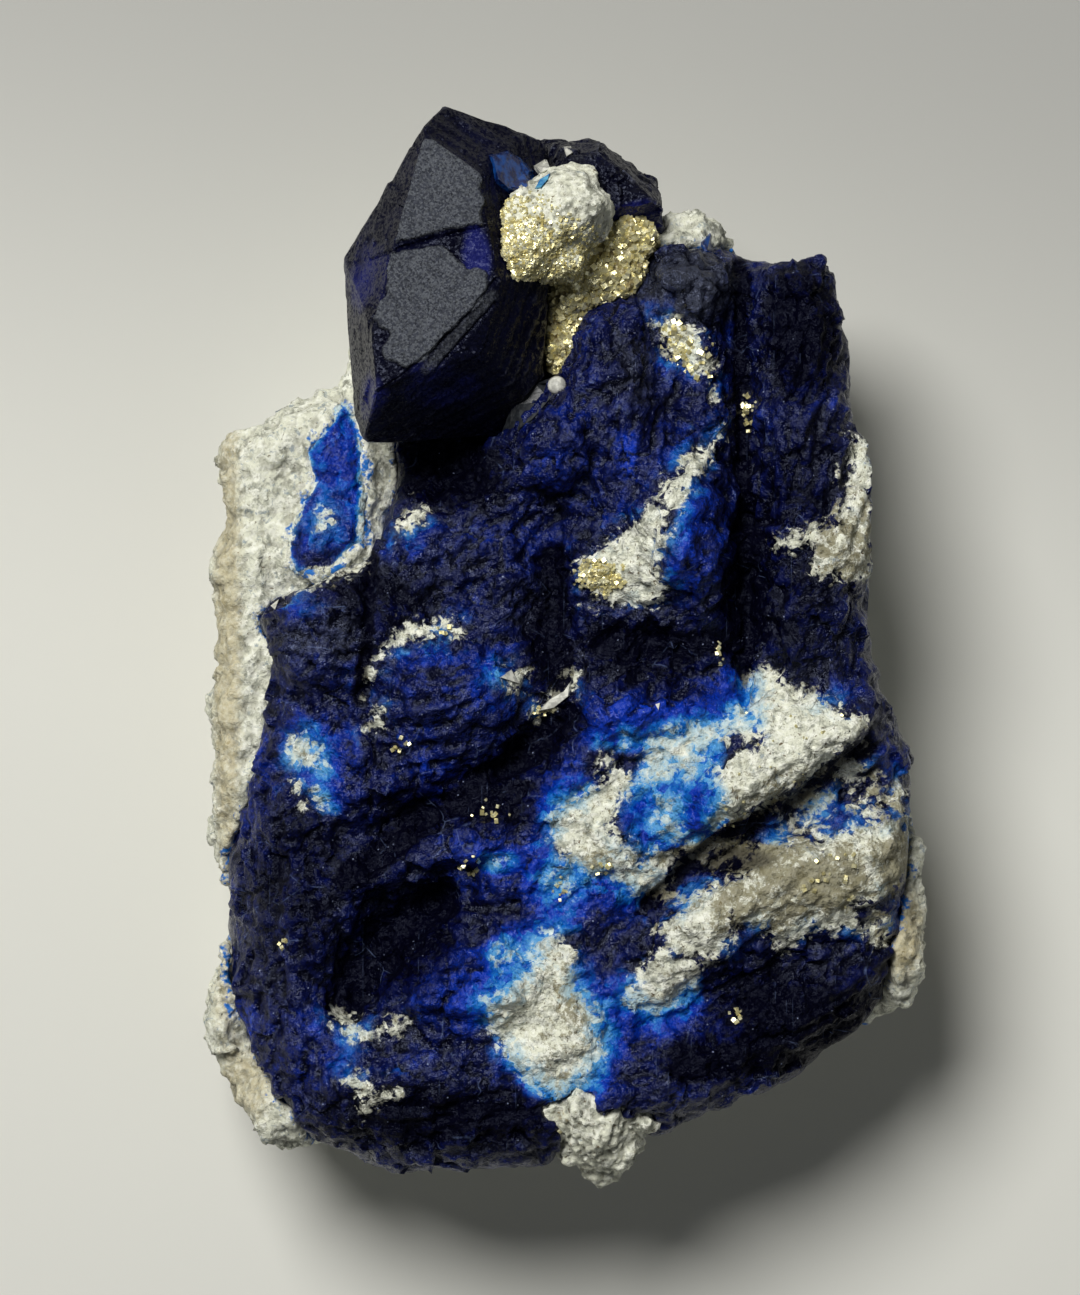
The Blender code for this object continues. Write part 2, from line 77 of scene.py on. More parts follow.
def places(*pixels):
    """Photograph pixels as places on the specimen's front."""
    across, down = np.array(pixels, float).T
    return np.stack([(across - PHOTO_MIDDLE[0]), (PHOTO_MIDDLE[1] - down)], -1) / PIXELS_PER_MM


def front_places(*pixels):
    """Pixels of the large crystal's front, which is nearer the camera than the mass."""
    nearer = (CAMERA_HEIGHT - FRONT_LEVEL) / (CAMERA_HEIGHT - CRYSTAL_TOP)
    middle = np.array((CAMERA_ACROSS, 0.0))
    return middle + (places(*pixels) - middle) / nearer


def zones(*rows, place=places):
    """Rounded zones, from rows of the middle's pixel, the radii across and along, and a number."""
    return [(place((x, y)), (across, along), number) for x, y, across, along, number in rows]


# The pieces that are grown into the mass, and the CAD node that each stands for
INLAYS = {
    "vein": "calcite_vein", "ledge": "calcite_ledge", "rib": "calcite_rib", "patch": "calcite_patch",
    "pocket": "pyrite_pocket",
}
# White calcite in the lazurite's surface, as outlines
CALCITE = [
    places((754, 675), (771, 670), (789, 687), (833, 707), (866, 722), (858, 740), (838, 750),
           (821, 769), (784, 792), (739, 817), (714, 824), (719, 799), (714, 777), (729, 760),
           (754, 752), (764, 735), (749, 722), (751, 697)),
    places((647, 745), (699, 730), (719, 725), (739, 710), (749, 722), (759, 740), (739, 737),
           (699, 745), (704, 764), (689, 774), (674, 767), (669, 779), (640, 784), (644, 764)),
    places((602, 752), (612, 769), (640, 784), (620, 799), (612, 829), (635, 849), (640, 866),
           (659, 849), (679, 859), (674, 874), (659, 899), (635, 894), (610, 874), (585, 871),
           (560, 859), (550, 834), (555, 819), (565, 802), (590, 794), (605, 779)),
    places((814, 844), (839, 832), (888, 819), (908, 824), (918, 839), (916, 866), (898, 889),
           (881, 904), (853, 909), (858, 929), (834, 934), (811, 924), (804, 939), (784, 949),
           (764, 929), (734, 921), (727, 946), (709, 959), (679, 956), (657, 929), (684, 906),
           (714, 884), (744, 871), (746, 854), (764, 844), (789, 839)),
    places((659, 949), (679, 956), (699, 968), (694, 983), (679, 1001), (652, 1013), (635, 1003),
           (630, 988), (644, 971)),
    places((535, 940), (560, 932), (576, 950), (574, 985), (596, 1010), (600, 1050), (586, 1080),
           (560, 1098), (538, 1086), (512, 1058), (490, 1030), (488, 1000), (515, 985), (528, 965)),
    places((722, 428), (700, 450), (670, 480), (655, 510), (610, 545), (580, 562), (584, 580),
           (606, 600), (640, 610), (665, 598), (655, 570), (664, 535), (682, 496), (706, 465),
           (720, 444)),
    places((655, 322), (672, 318), (700, 338), (714, 360), (712, 376), (692, 366), (668, 352)),
    places((850, 436), (870, 440), (872, 580), (845, 580), (808, 573), (814, 548), (775, 545),
           (802, 533), (828, 524), (846, 500), (852, 470)),
    places((836, 762), (868, 764), (862, 784), (840, 788)),
    places((812, 794), (830, 796), (826, 816), (810, 816)),
    places((780, 816), (802, 814), (800, 832), (784, 834)),
    places((893, 784), (908, 788), (906, 818), (894, 812)),
    places((656, 800), (676, 804), (674, 836), (660, 832)),
    places((370, 704), (384, 706), (382, 726), (372, 728)),
    places((394, 530), (417, 503), (426, 513), (408, 531)),
    places((292, 742), (306, 738), (318, 752), (322, 770), (308, 764), (288, 764)),
]
# Places where calcite and lazurite grains mix: middle, radii, and the share's level in millimetres
MIXED = zones(
    (872, 795, 5.0, 4.6, -0.1),
    (800, 824, 4.0, 2.2, 0.1),
    (668, 822, 3.6, 4.2, -0.3),
    (722, 852, 6.4, 2.6, 0.3),
    (800, 795, 5.0, 2.4, 0.0),
    (575, 820, 3.6, 4.0, -0.2),
    (560, 885, 4.6, 4.2, -0.7),
    (700, 905, 7.0, 3.4, -0.2),
    (880, 930, 3.0, 4.0, 0.2),
    (905, 850, 2.0, 6.0, 0.4),
    (508, 960, 3.4, 4.0, -0.5),
    (640, 1000, 3.6, 2.4, 0.0),
    (500, 862, 3.4, 1.8, -0.6),
    (430, 628, 3.4, 1.4, -0.5),
    (520, 690, 3.4, 2.0, -1.0),
    (690, 730, 6.0, 2.2, -0.3),
    (360, 1020, 4.0, 1.6, -0.7),
    (378, 1094, 3.6, 2.4, -0.7),
    (300, 770, 3.0, 4.4, -0.9),
    (712, 395, 1.6, 2.2, -0.3),
    (628, 740, 2.2, 3.0, -0.6),
    (600, 610, 4.6, 2.2, -0.9),
    (310, 600, 5.0, 3.4, -1.4),
    (840, 480, 2.0, 5.0, -0.6),
)
# Brown and grey stains on the calcite: middle, radii, strength, below 0 where it is clean
STAINS = zones(
    (650, 555, 5.0, 8.0, -0.8),
    (795, 730, 6.0, 4.0, -0.4),
    (830, 888, 5.0, 3.2, 0.9),
    (900, 862, 2.6, 5.4, 1.0),
    (760, 890, 7.0, 4.4, 0.45),
    (600, 862, 2.2, 1.6, 0.9),
    (648, 905, 4.4, 2.6, 0.8),
    (586, 985, 2.2, 5.0, 0.6),
    (560, 1090, 4.0, 1.8, 0.6),
    (870, 800, 5.0, 4.0, 0.5),
    (890, 920, 2.4, 3.6, 0.6),
    (850, 540, 4.0, 5.0, 0.65),
    (812, 858, 8.0, 3.6, 0.55),
    (750, 915, 6.0, 3.0, 0.45),
    (560, 1000, 4.0, 5.0, 0.3),
    (722, 845, 7.0, 3.0, 0.9),
    (800, 795, 5.0, 2.6, 0.6),
    (660, 780, 4.0, 3.0, 0.2),
    (620, 590, 3.4, 1.6, 0.5),
)
# Narrow grooves, cut into the relief and painted nearly black with painted shade: points, half width
GROOVES = [
    (places((868, 746), (838, 762), (800, 796), (762, 816), (714, 842), (684, 868), (650, 905)), 0.8),
    (places((742, 262), (742, 400), (748, 560), (744, 700)), 0.7),
    (places((570, 720), (500, 770), (430, 815), (350, 880)), 1.6),
    (places((436, 905), (392, 935), (345, 1000)), 2.2),
    (places((553, 560), (556, 640), (560, 690)), 1.2),
    (places((600, 640), (660, 650), (740, 640)), 1.4),
    (places((372, 560), (368, 640), (360, 700)), 0.6),
    (places((880, 1010), (800, 1050), (690, 1060)), 2.4),
]
# The blue patch in the marble, and the white specks in it: middle, radii
BLUE_PATCH_OUTLINE = places((341, 404), (354, 420), (359, 458), (357, 508), (355, 540), (329, 566),
                            (295, 568), (285, 552), (297, 512), (313, 482), (305, 448), (325, 428))
WHITE_IN_BLUE_PATCH = (places((322, 520))[0], (2.0, 3.0))
# Thin pale streaks: points and half width
STREAKS = [
    (places((398, 640), (408, 628), (430, 632), (444, 624), (456, 630)), 0.45),
    (places((366, 680), (384, 652), (396, 638)), 0.16),
    (places((500, 676), (512, 684), (520, 676)), 0.4),
    (places((536, 712), (552, 704), (568, 690), (571, 676)), 0.3),
    (places((338, 1018), (352, 1026), (366, 1036), (384, 1030), (400, 1026)), 0.5),
    (places((352, 1078), (370, 1090), (398, 1092)), 0.55),
    (places((362, 1096), (366, 1112)), 0.4),
    (places((290, 592), (318, 580), (362, 565)), 0.22),
    (places((296, 546), (318, 572), (332, 576)), 0.35),
    (places((296, 786), (302, 804)), 0.25),
    (places((314, 790), (322, 806)), 0.25),
]
# Zones where the marble is stained ochre: middle, radii, strength
OCHRE_ZONES = zones(
    (905, 935, 3.0, 6.0, 1.0),
    (240, 1090, 4.0, 5.0, 0.8),
    (222, 1000, 2.4, 6.0, 0.5),
    (222, 640, 2.0, 36.0, 0.9),
)
# Zones of brighter blue: middle, radii, strength
BRIGHT_ZONES = zones(
    (650, 722, 7.5, 3.4, 1.25),
    (735, 700, 4.2, 3.4, 1.1),
    (690, 755, 3.4, 2.4, 1.0),
    (560, 800, 3.0, 4.0, 0.9),
    (515, 965, 4.0, 5.0, 1.0),
    (560, 890, 4.0, 4.0, 0.8),
    (560, 1080, 4.0, 3.0, 0.6),
    (675, 805, 5.5, 5.0, 1.1),
    (628, 455, 1.3, 3.2, 1.0),
    (560, 450, 4.2, 4.6, 0.45),
    (822, 385, 3.0, 3.6, 0.35),
    (700, 545, 3.4, 6.0, 0.7),
    (500, 860, 6.0, 4.4, 0.7),
    (475, 985, 8.5, 4.6, 0.9),
    (430, 780, 5.0, 2.6, 0.5),
    (330, 770, 4.0, 5.0, 0.45),
    (450, 690, 6.6, 5.4, 0.35),
    (580, 1040, 8.0, 9.0, 0.5),
    (700, 1020, 8.0, 4.5, 0.4),
    (860, 800, 4.5, 3.5, 0.1),
    (470, 560, 9.0, 5.0, 0.3),
    (235, 1030, 2.4, 3.0, 0.8),
    (310, 1060, 5.0, 5.0, 0.25),
    (620, 880, 7.0, 3.5, 0.6),
    (245, 780, 2.5, 8.0, 0.4),
)
# Zones painted nearly black, partly the lazurite's own colour and partly painted shade under the large
# crystal, in hollows and on faces turned from the light: middle, radii, strength
DARK_AND_SHADED_ZONES = zones(
    (800, 330, 4.6, 8.0, 1.0),
    (800, 560, 6.0, 14.0, 0.5),
    (790, 1030, 10.0, 4.4, 0.9),
    (745, 590, 2.4, 9.0, 1.0),
    (450, 470, 7.0, 5.0, 1.0),
    (400, 950, 5.5, 5.0, 1.0),
    (470, 800, 10.0, 3.4, 0.8),
    (550, 640, 2.5, 8.0, 0.9),
    (650, 650, 8.0, 3.6, 0.7),
    (720, 860, 8.0, 1.7, 1.0),
    (450, 1120, 14.0, 4.0, 0.9),
    (780, 990, 10.0, 4.0, 0.5),
    (880, 980, 4.0, 6.0, 0.5),
    (300, 880, 6.0, 9.0, 0.5),
    (380, 600, 7.0, 4.0, 0.5),
)
# Zones where the lazurite is painted a dull grey, partly for wear and partly as painted sheen where
# facets catch the light: middle, radii, strength
WORN_AND_SHEEN_ZONES = zones(
    (690, 285, 6.0, 4.6, 1.3),
    (640, 375, 3.6, 4.6, 0.5),
    (320, 640, 5.6, 3.6, 0.7),
    (420, 560, 7.0, 5.0, 0.45),
    (530, 600, 6.0, 4.0, 0.4),
    (450, 700, 5.0, 4.4, 0.35),
    (560, 450, 3.4, 3.4, 0.3),
)
# Pyrite grown over the surface: middle, radii, share covered
GOLD_ZONES = zones(
    (600, 578, 2.4, 1.9, 0.55),
    (750, 412, 0.6, 2.2, 0.8),
    (720, 655, 0.4, 1.2, 0.6),
    (470, 870, 1.2, 1.6, 0.35),
    (500, 812, 2.6, 1.4, 0.2),
    (440, 632, 1.6, 0.7, 0.5),
    (285, 940, 1.0, 1.0, 0.4),
    (735, 1016, 0.8, 0.8, 0.6),
    (602, 868, 1.8, 1.0, 0.3),
    (560, 888, 1.2, 1.6, 0.3),
    (835, 880, 4.0, 3.0, 0.1),
    (545, 712, 1.4, 0.8, 0.4),
    (400, 745, 1.6, 1.2, 0.15),
    (560, 1120, 2.0, 1.2, 0.15),
)
# The raised frosted plates of the large crystal's front, as outlines
PLATES = [
    front_places((425, 138), (447, 142), (466, 158), (480, 177), (483, 226), (437, 233), (396, 243),
                 (397, 226), (399, 194), (413, 168)),
    front_places((391, 252), (437, 247), (454, 255), (468, 267), (490, 274), (486, 292), (478, 306),
                 (447, 335), (427, 359), (408, 369), (384, 361), (388, 335), (374, 320), (386, 296)),
]
# Cracks and steps across that front: points, half width, depth
CRACKS = [
    (front_places((369, 257), (400, 248), (437, 237), (462, 232), (484, 226)), 0.11, 0.40),
    (front_places((496, 280), (470, 312), (432, 352), (400, 378), (374, 396)), 0.13, 0.30),
    (front_places((496, 303), (470, 332), (428, 379), (412, 396)), 0.13, 0.30),
    (front_places((352, 303), (362, 312), (360, 372)), 0.16, 0.3),
]
FROSTED_STRIP = front_places((493, 296), (462, 330), (426, 371))
# Bluer zones of the two crystals: middle, radii, strength
CRYSTAL_BLUES = zones(
    (476, 255, 2.0, 4.5, 1.1),
    (365, 275, 3.0, 5.0, 0.7),
    (440, 385, 5.0, 3.0, 0.6),
    (372, 395, 2.0, 3.0, 0.8),
    place=front_places,
)
REAR_CRYSTAL_BLUES = zones((640, 218, 3.5, 2.0, 1.2))
# Small wedges that stand on the surface: outline, rise
BLUE_SHARDS = [
    (places((486, 160), (508, 152), (522, 160), (536, 174), (528, 196), (508, 202), (494, 190)), 1.1),
    (places((700, 238), (712, 226), (730, 244), (722, 254), (706, 250)), 0.5),
]
AZURE_SHARDS = [
    (places((533, 197), (539, 184), (552, 176), (549, 185), (540, 197)), 0.6),
]
WHITE_SHARDS = [
    (places((498, 678), (512, 668), (522, 686)), 0.5),
    (places((533, 716), (548, 700), (566, 690), (574, 678), (572, 696), (552, 712)), 0.6),
    (places((532, 168), (546, 158), (550, 172), (540, 180)), 0.5),
    (places((562, 146), (572, 143), (574, 154), (566, 160)), 0.4),
    (places((268, 606), (280, 598), (276, 612)), 0.3),
    (places((654, 704), (660, 702), (658, 712)), 0.3),
]
GREY_SHARDS = [
    (places((500, 436), (512, 405), (535, 384), (560, 374), (566, 384), (552, 402), (532, 425),
            (515, 437)), 0.25),
]
BEAD = (places((557, 386))[0], 0.95)  # a round white grain: middle, radius

# The colours
BLACK = (0.0012, 0.0012, 0.0065)
NAVY = (0.002, 0.004, 0.046)
ULTRAMARINE = (0.002, 0.010, 0.13)
VIVID = (0.001, 0.032, 0.42)
AZURE = (0.004, 0.15, 0.55)
SKY = (0.11, 0.38, 0.68)
# painted sheen: pale lines where the grains would catch the light
NETWORK_SHEEN = (0.055, 0.070, 0.17)
# a dull grey for wear and for painted sheen
WORN_SHEEN_GREY = (0.040, 0.045, 0.066)
SCRATCH = (0.22, 0.30, 0.55)
# a painted glint colour for scattered specks
GLINT_SPECK = (0.24, 0.28, 0.42)
PALE_BLUE = (0.36, 0.58, 0.70)
CREAM = (0.80, 0.81, 0.66)
WARM_WHITE = (0.92, 0.93, 0.81)
STONE_GREY = (0.30, 0.31, 0.25)
BLUE_GREY = (0.20, 0.27, 0.33)
BROWN = (0.15, 0.11, 0.055)
STAIN = (0.20, 0.172, 0.080)
SHADE = (0.055, 0.050, 0.040)
OCHRE = (0.52, 0.44, 0.24)
GOLD_STAIN = (0.33, 0.25, 0.10)
# painted shade for the hollows of the white stones
HOLLOW_SHADE = (0.16, 0.15, 0.12)
CRYSTAL_BLACK = (0.0025, 0.003, 0.016)
CRYSTAL_BLUE = (0.010, 0.013, 0.11)
FROST_LOW, FROST_HIGH = (0.030, 0.033, 0.042), (0.10, 0.108, 0.12)
WORN_EDGE = (0.16, 0.17, 0.22)
PYRITE_LOW, PYRITE_HIGH = (0.70, 0.62, 0.29), (0.98, 0.93, 0.60)
BED_LOW, BED_HIGH = (0.28, 0.22, 0.09), (0.84, 0.78, 0.50)
CARD_LOW, CARD_HIGH = (0.74, 0.74, 0.69), (0.41, 0.41, 0.39)
LAZURITE_GLOSS = (0.62, 0.70, 1.0, 1.0)
CRYSTAL_GLOSS = (0.65, 0.72, 1.0, 1.0)
# The halo round the calcite, outermost first: where it starts and is full, its share, its colour
HALO = ((-3.6, -1.4, 1.0, VIVID), (-2.0, -0.5, 1.0, AZURE), (-0.8, 0.1, 0.8, SKY))

# Repeatable numbers in space


def lattice(cell, seed):
    """A repeatable whole number for each cell of a lattice."""
    x, y, z = cell[..., 0], cell[..., 1], cell[..., 2]
    mixed = (x * 73856093) ^ (y * 19349663) ^ (z * 83492791) ^ (seed * 961748927)
    for _ in range(2):
        mixed = mixed & 0xFFFFFFFF
        mixed = (mixed ^ (mixed >> 16)) * 73244475
    mixed = mixed & 0xFFFFFFFF
    return mixed ^ (mixed >> 16)


def three_numbers(whole):
    """Three numbers from 0 to 1 out of each whole number."""
    return np.stack([((whole >> shift) & 1023) / 1023 for shift in (2, 11, 20)], -1)


def corners(low, high):
    steps = range(low, high + 1)
    return [np.array((x, y, z)) for x in steps for y in steps for z in steps]


def noise(points, size, seed):
    """Smooth noise from about -1 to 1."""
    points = points / size
    cell = np.floor(points).astype(np.int64)
    inside = points - cell
    fade = inside**3 * (inside * (inside * 6 - 15) + 10)
    total = np.zeros(len(points))
    for corner in corners(0, 1):
        slope = three_numbers(lattice(cell + corner, seed)) * 2 - 1
        weight = np.prod(np.where(corner, fade, 1 - fade), axis=-1)
        total += weight * ((inside - corner) * slope).sum(-1)
    return total * 1.9


def drawn_out(directions, sizes, seed):
    """Noise with a size of its own along each of three directions."""
    return noise(np.stack(directions, -1) / sizes, 1.0, seed)


def layered(points, size, octaves, seed):
    return sum(noise(points, size / 2**k, seed + k) / 2**k for k in range(octaves))


def scattered(points, size, seed):
    """The offset to each point from the nearest of some scattered centres, and three numbers of
    that centre's own."""
    points = points / size
    cell = np.floor(points).astype(np.int64)
    nearest = np.full(len(points), 9.0)
    offset = np.zeros_like(points)
    numbers = np.zeros_like(points)
    for corner in corners(-1, 1):
        own = three_numbers(lattice(cell + corner, seed))
        away = points - (cell + corner + own)
        distance = np.sqrt((away**2).sum(-1))
        closer = distance < nearest
        nearest = np.where(closer, distance, nearest)
        offset[closer] = away[closer]
        numbers[closer] = own[closer]
    return offset * size, numbers


def chipped(points, size, slope, seed):
    """The height of a surface broken into small flat facets."""
    offset, numbers = scattered(points, size, seed)
    return slope * (offset * (numbers * 2 - 1)).sum(-1)


def smooth_step(values, low, high):
    share = np.clip((values - low) / (high - low), 0, 1)
    return share * share * (3 - 2 * share)


def zone(xy, middle, radii):
    """1 at the zone's middle, falling to 0 at its edge."""
    apart = np.sqrt((((xy - middle) / radii) ** 2).sum(-1))
    return 1 - smooth_step(apart, 0.35, 1.25)


def line_distance(xy, line):
    nearest = np.full(len(xy), 1e9)
    for a, b in zip(line, line[1:]):
        along = np.clip(((xy - a) @ (b - a)) / ((b - a) @ (b - a)), 0, 1)
        nearest = np.minimum(nearest, np.sqrt(((xy - a - along[:, None] * (b - a)) ** 2).sum(-1)))
    return nearest


def outline_depth(xy, outline):
    """How far inside an outline each place is, below 0 outside it."""
    within = np.zeros(len(xy), bool)
    for a, b in zip(outline, np.roll(outline, -1, axis=0)):
        spans = (a[1] > xy[:, 1]) != (b[1] > xy[:, 1])
        rise = b[1] - a[1] if b[1] != a[1] else 1e-9
        within ^= spans & (xy[:, 0] < a[0] + (b[0] - a[0]) * (xy[:, 1] - a[1]) / rise)
    distance = line_distance(xy, np.vstack([outline, outline[:1]]))
    return np.where(within, distance, -distance)


# Fine meshes made from the CAD nodes


def node_mesh(node, swell=0.0):
    """A CAD node's mesh with its vertices joined up, swollen by a distance."""
    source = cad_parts[node]
    mesh = bmesh.new()
    mesh.from_mesh(source.data)
    mesh.transform(source.matrix_world)
    bmesh.ops.remove_doubles(mesh, verts=mesh.verts, dist=1e-6)
    mesh.normal_update()
    for vert in mesh.verts:
        vert.co += vert.normal * swell * MM
    return mesh


def new_piece(name, mesh):
    data = bpy.data.meshes.new(name)
    mesh.to_mesh(data)
    mesh.free()
    piece = bpy.data.objects.new(name, data)
    bpy.context.scene.collection.objects.link(piece)
    return piece


def remeshed(name, nodes, voxel):
    """One skin round some CAD nodes, given as {node: swell}."""
    together = bmesh.new()
    for node, swell in nodes.items():
        part = node_mesh(node, swell)
        data = bpy.data.meshes.new("part")
        part.to_mesh(data)
        part.free()
        together.from_mesh(data)
        bpy.data.meshes.remove(data)
    rough = new_piece(name + "_rough", together)
    remesh = rough.modifiers.new("skin", "REMESH")
    remesh.mode = "VOXEL"
    remesh.voxel_size = voxel * MM
    made = rough.evaluated_get(bpy.context.evaluated_depsgraph_get()).to_mesh()
    mesh = bmesh.new()
    mesh.from_mesh(made)
    bpy.data.objects.remove(rough)
    return mesh


def split_faces(mesh, chosen):
    """Halves the edges of the faces for which chosen(face) is true."""
    edges = {edge for face in mesh.faces if chosen(face) for edge in face.edges}
    bmesh.ops.subdivide_edges(mesh, edges=list(edges), cuts=1, use_grid_fill=True)


def positions(piece):
    flat = np.empty(3 * len(piece.data.vertices))
    piece.data.vertices.foreach_get("co", flat)
    return flat.reshape(-1, 3) / MM


def normals(piece):
    flat = np.empty(3 * len(piece.data.vertices))
    piece.data.vertices.foreach_get("normal", flat)
    return flat.reshape(-1, 3)


def move_to(piece, points):
    points = points.copy()
    low, high = (np.array(corner) / MM for corner in CAD_BOX)
    points = np.clip(points, low - 0.2, high + 0.2)
    points[:, 2] = np.maximum(points[:, 2], 0.0)
    piece.data.vertices.foreach_set("co", (points * MM).ravel())
    piece.data.update()


def neighbour_mean(piece, values):
    """The mean of each vertex's neighbours."""
    ends = np.empty(2 * len(piece.data.edges), int)
    piece.data.edges.foreach_get("vertices", ends)
    first, second = ends.reshape(-1, 2).T
    count = len(values)
    shared = np.bincount(first, minlength=count) + np.bincount(second, minlength=count)
    columns = []
    for column in values.T:
        total = np.bincount(first, column[second], count) + np.bincount(second, column[first], count)
        columns.append(total / np.maximum(shared, 1))
    return np.stack(columns, -1)


def smooth(piece, rounds):
    points = positions(piece)
    for _ in range(rounds):
        points = 0.45 * points + 0.55 * neighbour_mean(piece, points)
    move_to(piece, points)


def raise_by(piece, height):
    move_to(piece, positions(piece) + normals(piece) * height[:, None])


def keep(piece, name, values):
    """Stores a number for each vertex, for the material."""
    layer = piece.data.attributes.new(name, "FLOAT", "POINT")
    layer.data.foreach_set("value", np.asarray(values, np.float32))


def sharpness(piece, rounds=3):
    """Above 0 on ridges and below 0 in hollows."""
    points = positions(piece)
    mean = points
    for _ in range(rounds):
        mean = neighbour_mean(piece, mean)
    bulge = ((points - mean) * normals(piece)).sum(-1)
    return np.clip(bulge / 0.18, -1, 1)


def flat_shaded(piece, flat):
    piece.data.polygons.foreach_set("use_smooth", [not flat] * len(piece.data.polygons))


def fine_stone(name, nodes, voxel, rounds, split=None):
    """A fine stone piece that stands for its first CAD node."""
    mesh = remeshed(name, nodes, voxel)
    piece = new_piece(name, mesh)
    smooth(piece, rounds)
    if split:
        mesh = bmesh.new()
        mesh.from_mesh(piece.data)
        split_faces(mesh, split)
        mesh.to_mesh(piece.data)
        mesh.free()
        smooth(piece, 1)
    flat_shaded(piece, False)
    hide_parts(next(iter(nodes)))
    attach(piece, "root")
    return piece


# The lazurite mass


def fold_height(points):
    """Long sharp folds in arcs about FOLD_CENTRE, and finer ones between them."""
    dx, dy = points[:, 0] - FOLD_CENTRE[0], points[:, 1] - FOLD_CENTRE[1]
    radius = np.hypot(dx, dy) + 1.3 * noise(points, 9.0, 31)
    arc = np.arctan2(dy, dx) * 42.0
    coarse = drawn_out((radius, arc, points[:, 2]), (1.7, 8.0, 9.0), 32)
    fine = drawn_out((radius, arc, points[:, 2]), (0.8, 4.5, 5.0), 33)
    folds = 0.62 * (0.5 - np.abs(coarse)) + 0.22 * fine
    # the left flank is scored from top to bottom instead
    flank = smooth_step(-points[:, 0], 13.0, 22.0) * smooth_step(-points[:, 1], -4.0, 6.0)
    leaning = points[:, 0] + 0.06 * points[:, 1]
    scored = drawn_out((leaning, points[:, 1], points[:, 2]), (0.75, 8.0, 4.0), 34)
    return folds * (1 - 0.65 * flank) + 0.28 * scored * flank


def column_height(points):
    """Steep fine striations on the right column."""
    across = 0.95 * points[:, 0] - 0.31 * points[:, 1] + 0.5 * noise(points, 5.0, 41)
    along = 0.31 * points[:, 0] + 0.95 * points[:, 1]
    lines = drawn_out((across, along, points[:, 2]), (0.85, 7.0, 6.0), 42)
    share = smooth_step(points[:, 0], 16.5, 19.5) * smooth_step(points[:, 1], 4.0, 14.0)
    return share * 0.36 * lines


def calcite_depth(xy):
    """How far inside the calcite each place is, below 0 outside it."""
    depth = np.full(len(xy), -1e9)
    for outline in CALCITE:
        depth = np.maximum(depth, outline_depth(xy, outline))
    for line, half_width in STREAKS:
        depth = np.maximum(depth, half_width - line_distance(xy, line))
    for middle, radii, level in MIXED:
        depth = np.maximum(depth, level - 4.0 * (1 - zone(xy, middle, radii)))
    return depth


def groove_share(xy):
    share = np.zeros(len(xy))
    for line, half_width in GROOVES:
        away = line_distance(xy, line)
        share = np.maximum(share, 1 - smooth_step(away, 0.3 * half_width, 1.6 * half_width))
    return share


def zones_sum(xy, table):
    return sum(strength * zone(xy, middle, radii) for middle, radii, strength in table)


def mark_stone(piece):
    """The fields that the lazurite material reads."""
    points = positions(piece)
    xy = points[:, :2]
    keep(piece, "calcite", np.maximum(calcite_depth(xy), -6.0))
    keep(piece, "bright", zones_sum(xy, BRIGHT_ZONES))
    # Painted shade: the grooves are painted nearly black, and so are the listed zones, partly for their
    # own colour and partly as painted shade.
    keep(piece, "dark_and_shade", np.maximum(zones_sum(xy, DARK_AND_SHADED_ZONES), 1.1 * groove_share(xy)))
    keep(piece, "stain", zones_sum(xy, STAINS))
    # Partly wear and partly painted sheen: a dull grey where facets catch the light.
    keep(piece, "worn", zones_sum(xy, WORN_AND_SHEEN_ZONES))
    keep(piece, "ridge", sharpness(piece))


def front_height(points, facing):
    """How far the front's surface stands out from the CAD's."""
    white = smooth_step(calcite_depth(points[:, :2]), -0.6, 0.8)
    broken = chipped(points, 3.4, 0.26, 51) + chipped(points, 1.7, 0.20, 52)
    creases = 0.45 * (0.35 - np.abs(noise(points, 3.0, 57)))
    crumbs = 0.30 * layered(points, 1.8, 2, 55) + chipped(points, 1.1, 0.22, 56)
    height = fold_height(points) * (1 - 0.5 * white) + column_height(points)
    height += 0.26 * layered(points, 3.8, 3, 53)
    height += (broken + creases) * (1 - white) + (crumbs + 0.15) * white
    height *= 0.45 + 0.55 * smooth_step(facing[:, 2], 0.0, 0.5)
    return height - 0.7 * groove_share(points[:, :2]) * smooth_step(facing[:, 2], 0.1, 0.5)


def make_mass():
    """The lazurite with the bodies grown into it, so that no gap shows round them."""
    nodes = {"lazurite_mass": 0.0, **{node: 0.45 for node in INLAYS.values()}}
    piece = fine_stone(
        "lazurite_body", nodes, voxel=0.80, rounds=7, split=lambda face: face.normal.z > 0.12)
    raise_by(piece, front_height(positions(piece), normals(piece)))
    mark_stone(piece)
    return piece


def make_inlay(name):
    """A white body grown into the mass, with the mass's relief, so that the two run together."""
    piece = fine_stone(name, {INLAYS[name]: 0.40}, voxel=0.36, rounds=4)
    raise_by(piece, front_height(positions(piece), normals(piece)))
    mark_stone(piece)
    return piece


def make_blue_patch():
    piece = fine_stone("blue_patch", {"lazurite_patch": 0.8}, voxel=0.36, rounds=4)
    points = positions(piece)
    raise_by(piece, 0.3 * layered(points, 1.8, 3, 61) + chipped(points, 1.2, 0.25, 62))
    points = positions(piece)
    xy = points[:, :2]
    rim = -outline_depth(xy, BLUE_PATCH_OUTLINE)
    specks = 1.6 * zone(xy, *WHITE_IN_BLUE_PATCH)
    keep(piece, "calcite", np.clip(np.maximum(4.0 * rim + 0.1, specks - 1.9), -6, 0.6))
    keep(piece, "bright", np.full(len(points), 0.2))
    for field in ("dark_and_shade", "stain", "worn"):
        keep(piece, field, np.zeros(len(points)))
    keep(piece, "ridge", sharpness(piece))
    return piece


# The marble and the calcite


def shows_marble(face):
    """True for a face of the marble that is neither in its foot nor in the seat under the mass."""
    middle = face.calc_center_median()
    in_seat = face.normal.z > 0.6 and middle.z < SEAT_LEVEL * MM
    return middle.z > MARBLE_FOOT * MM and not in_seat


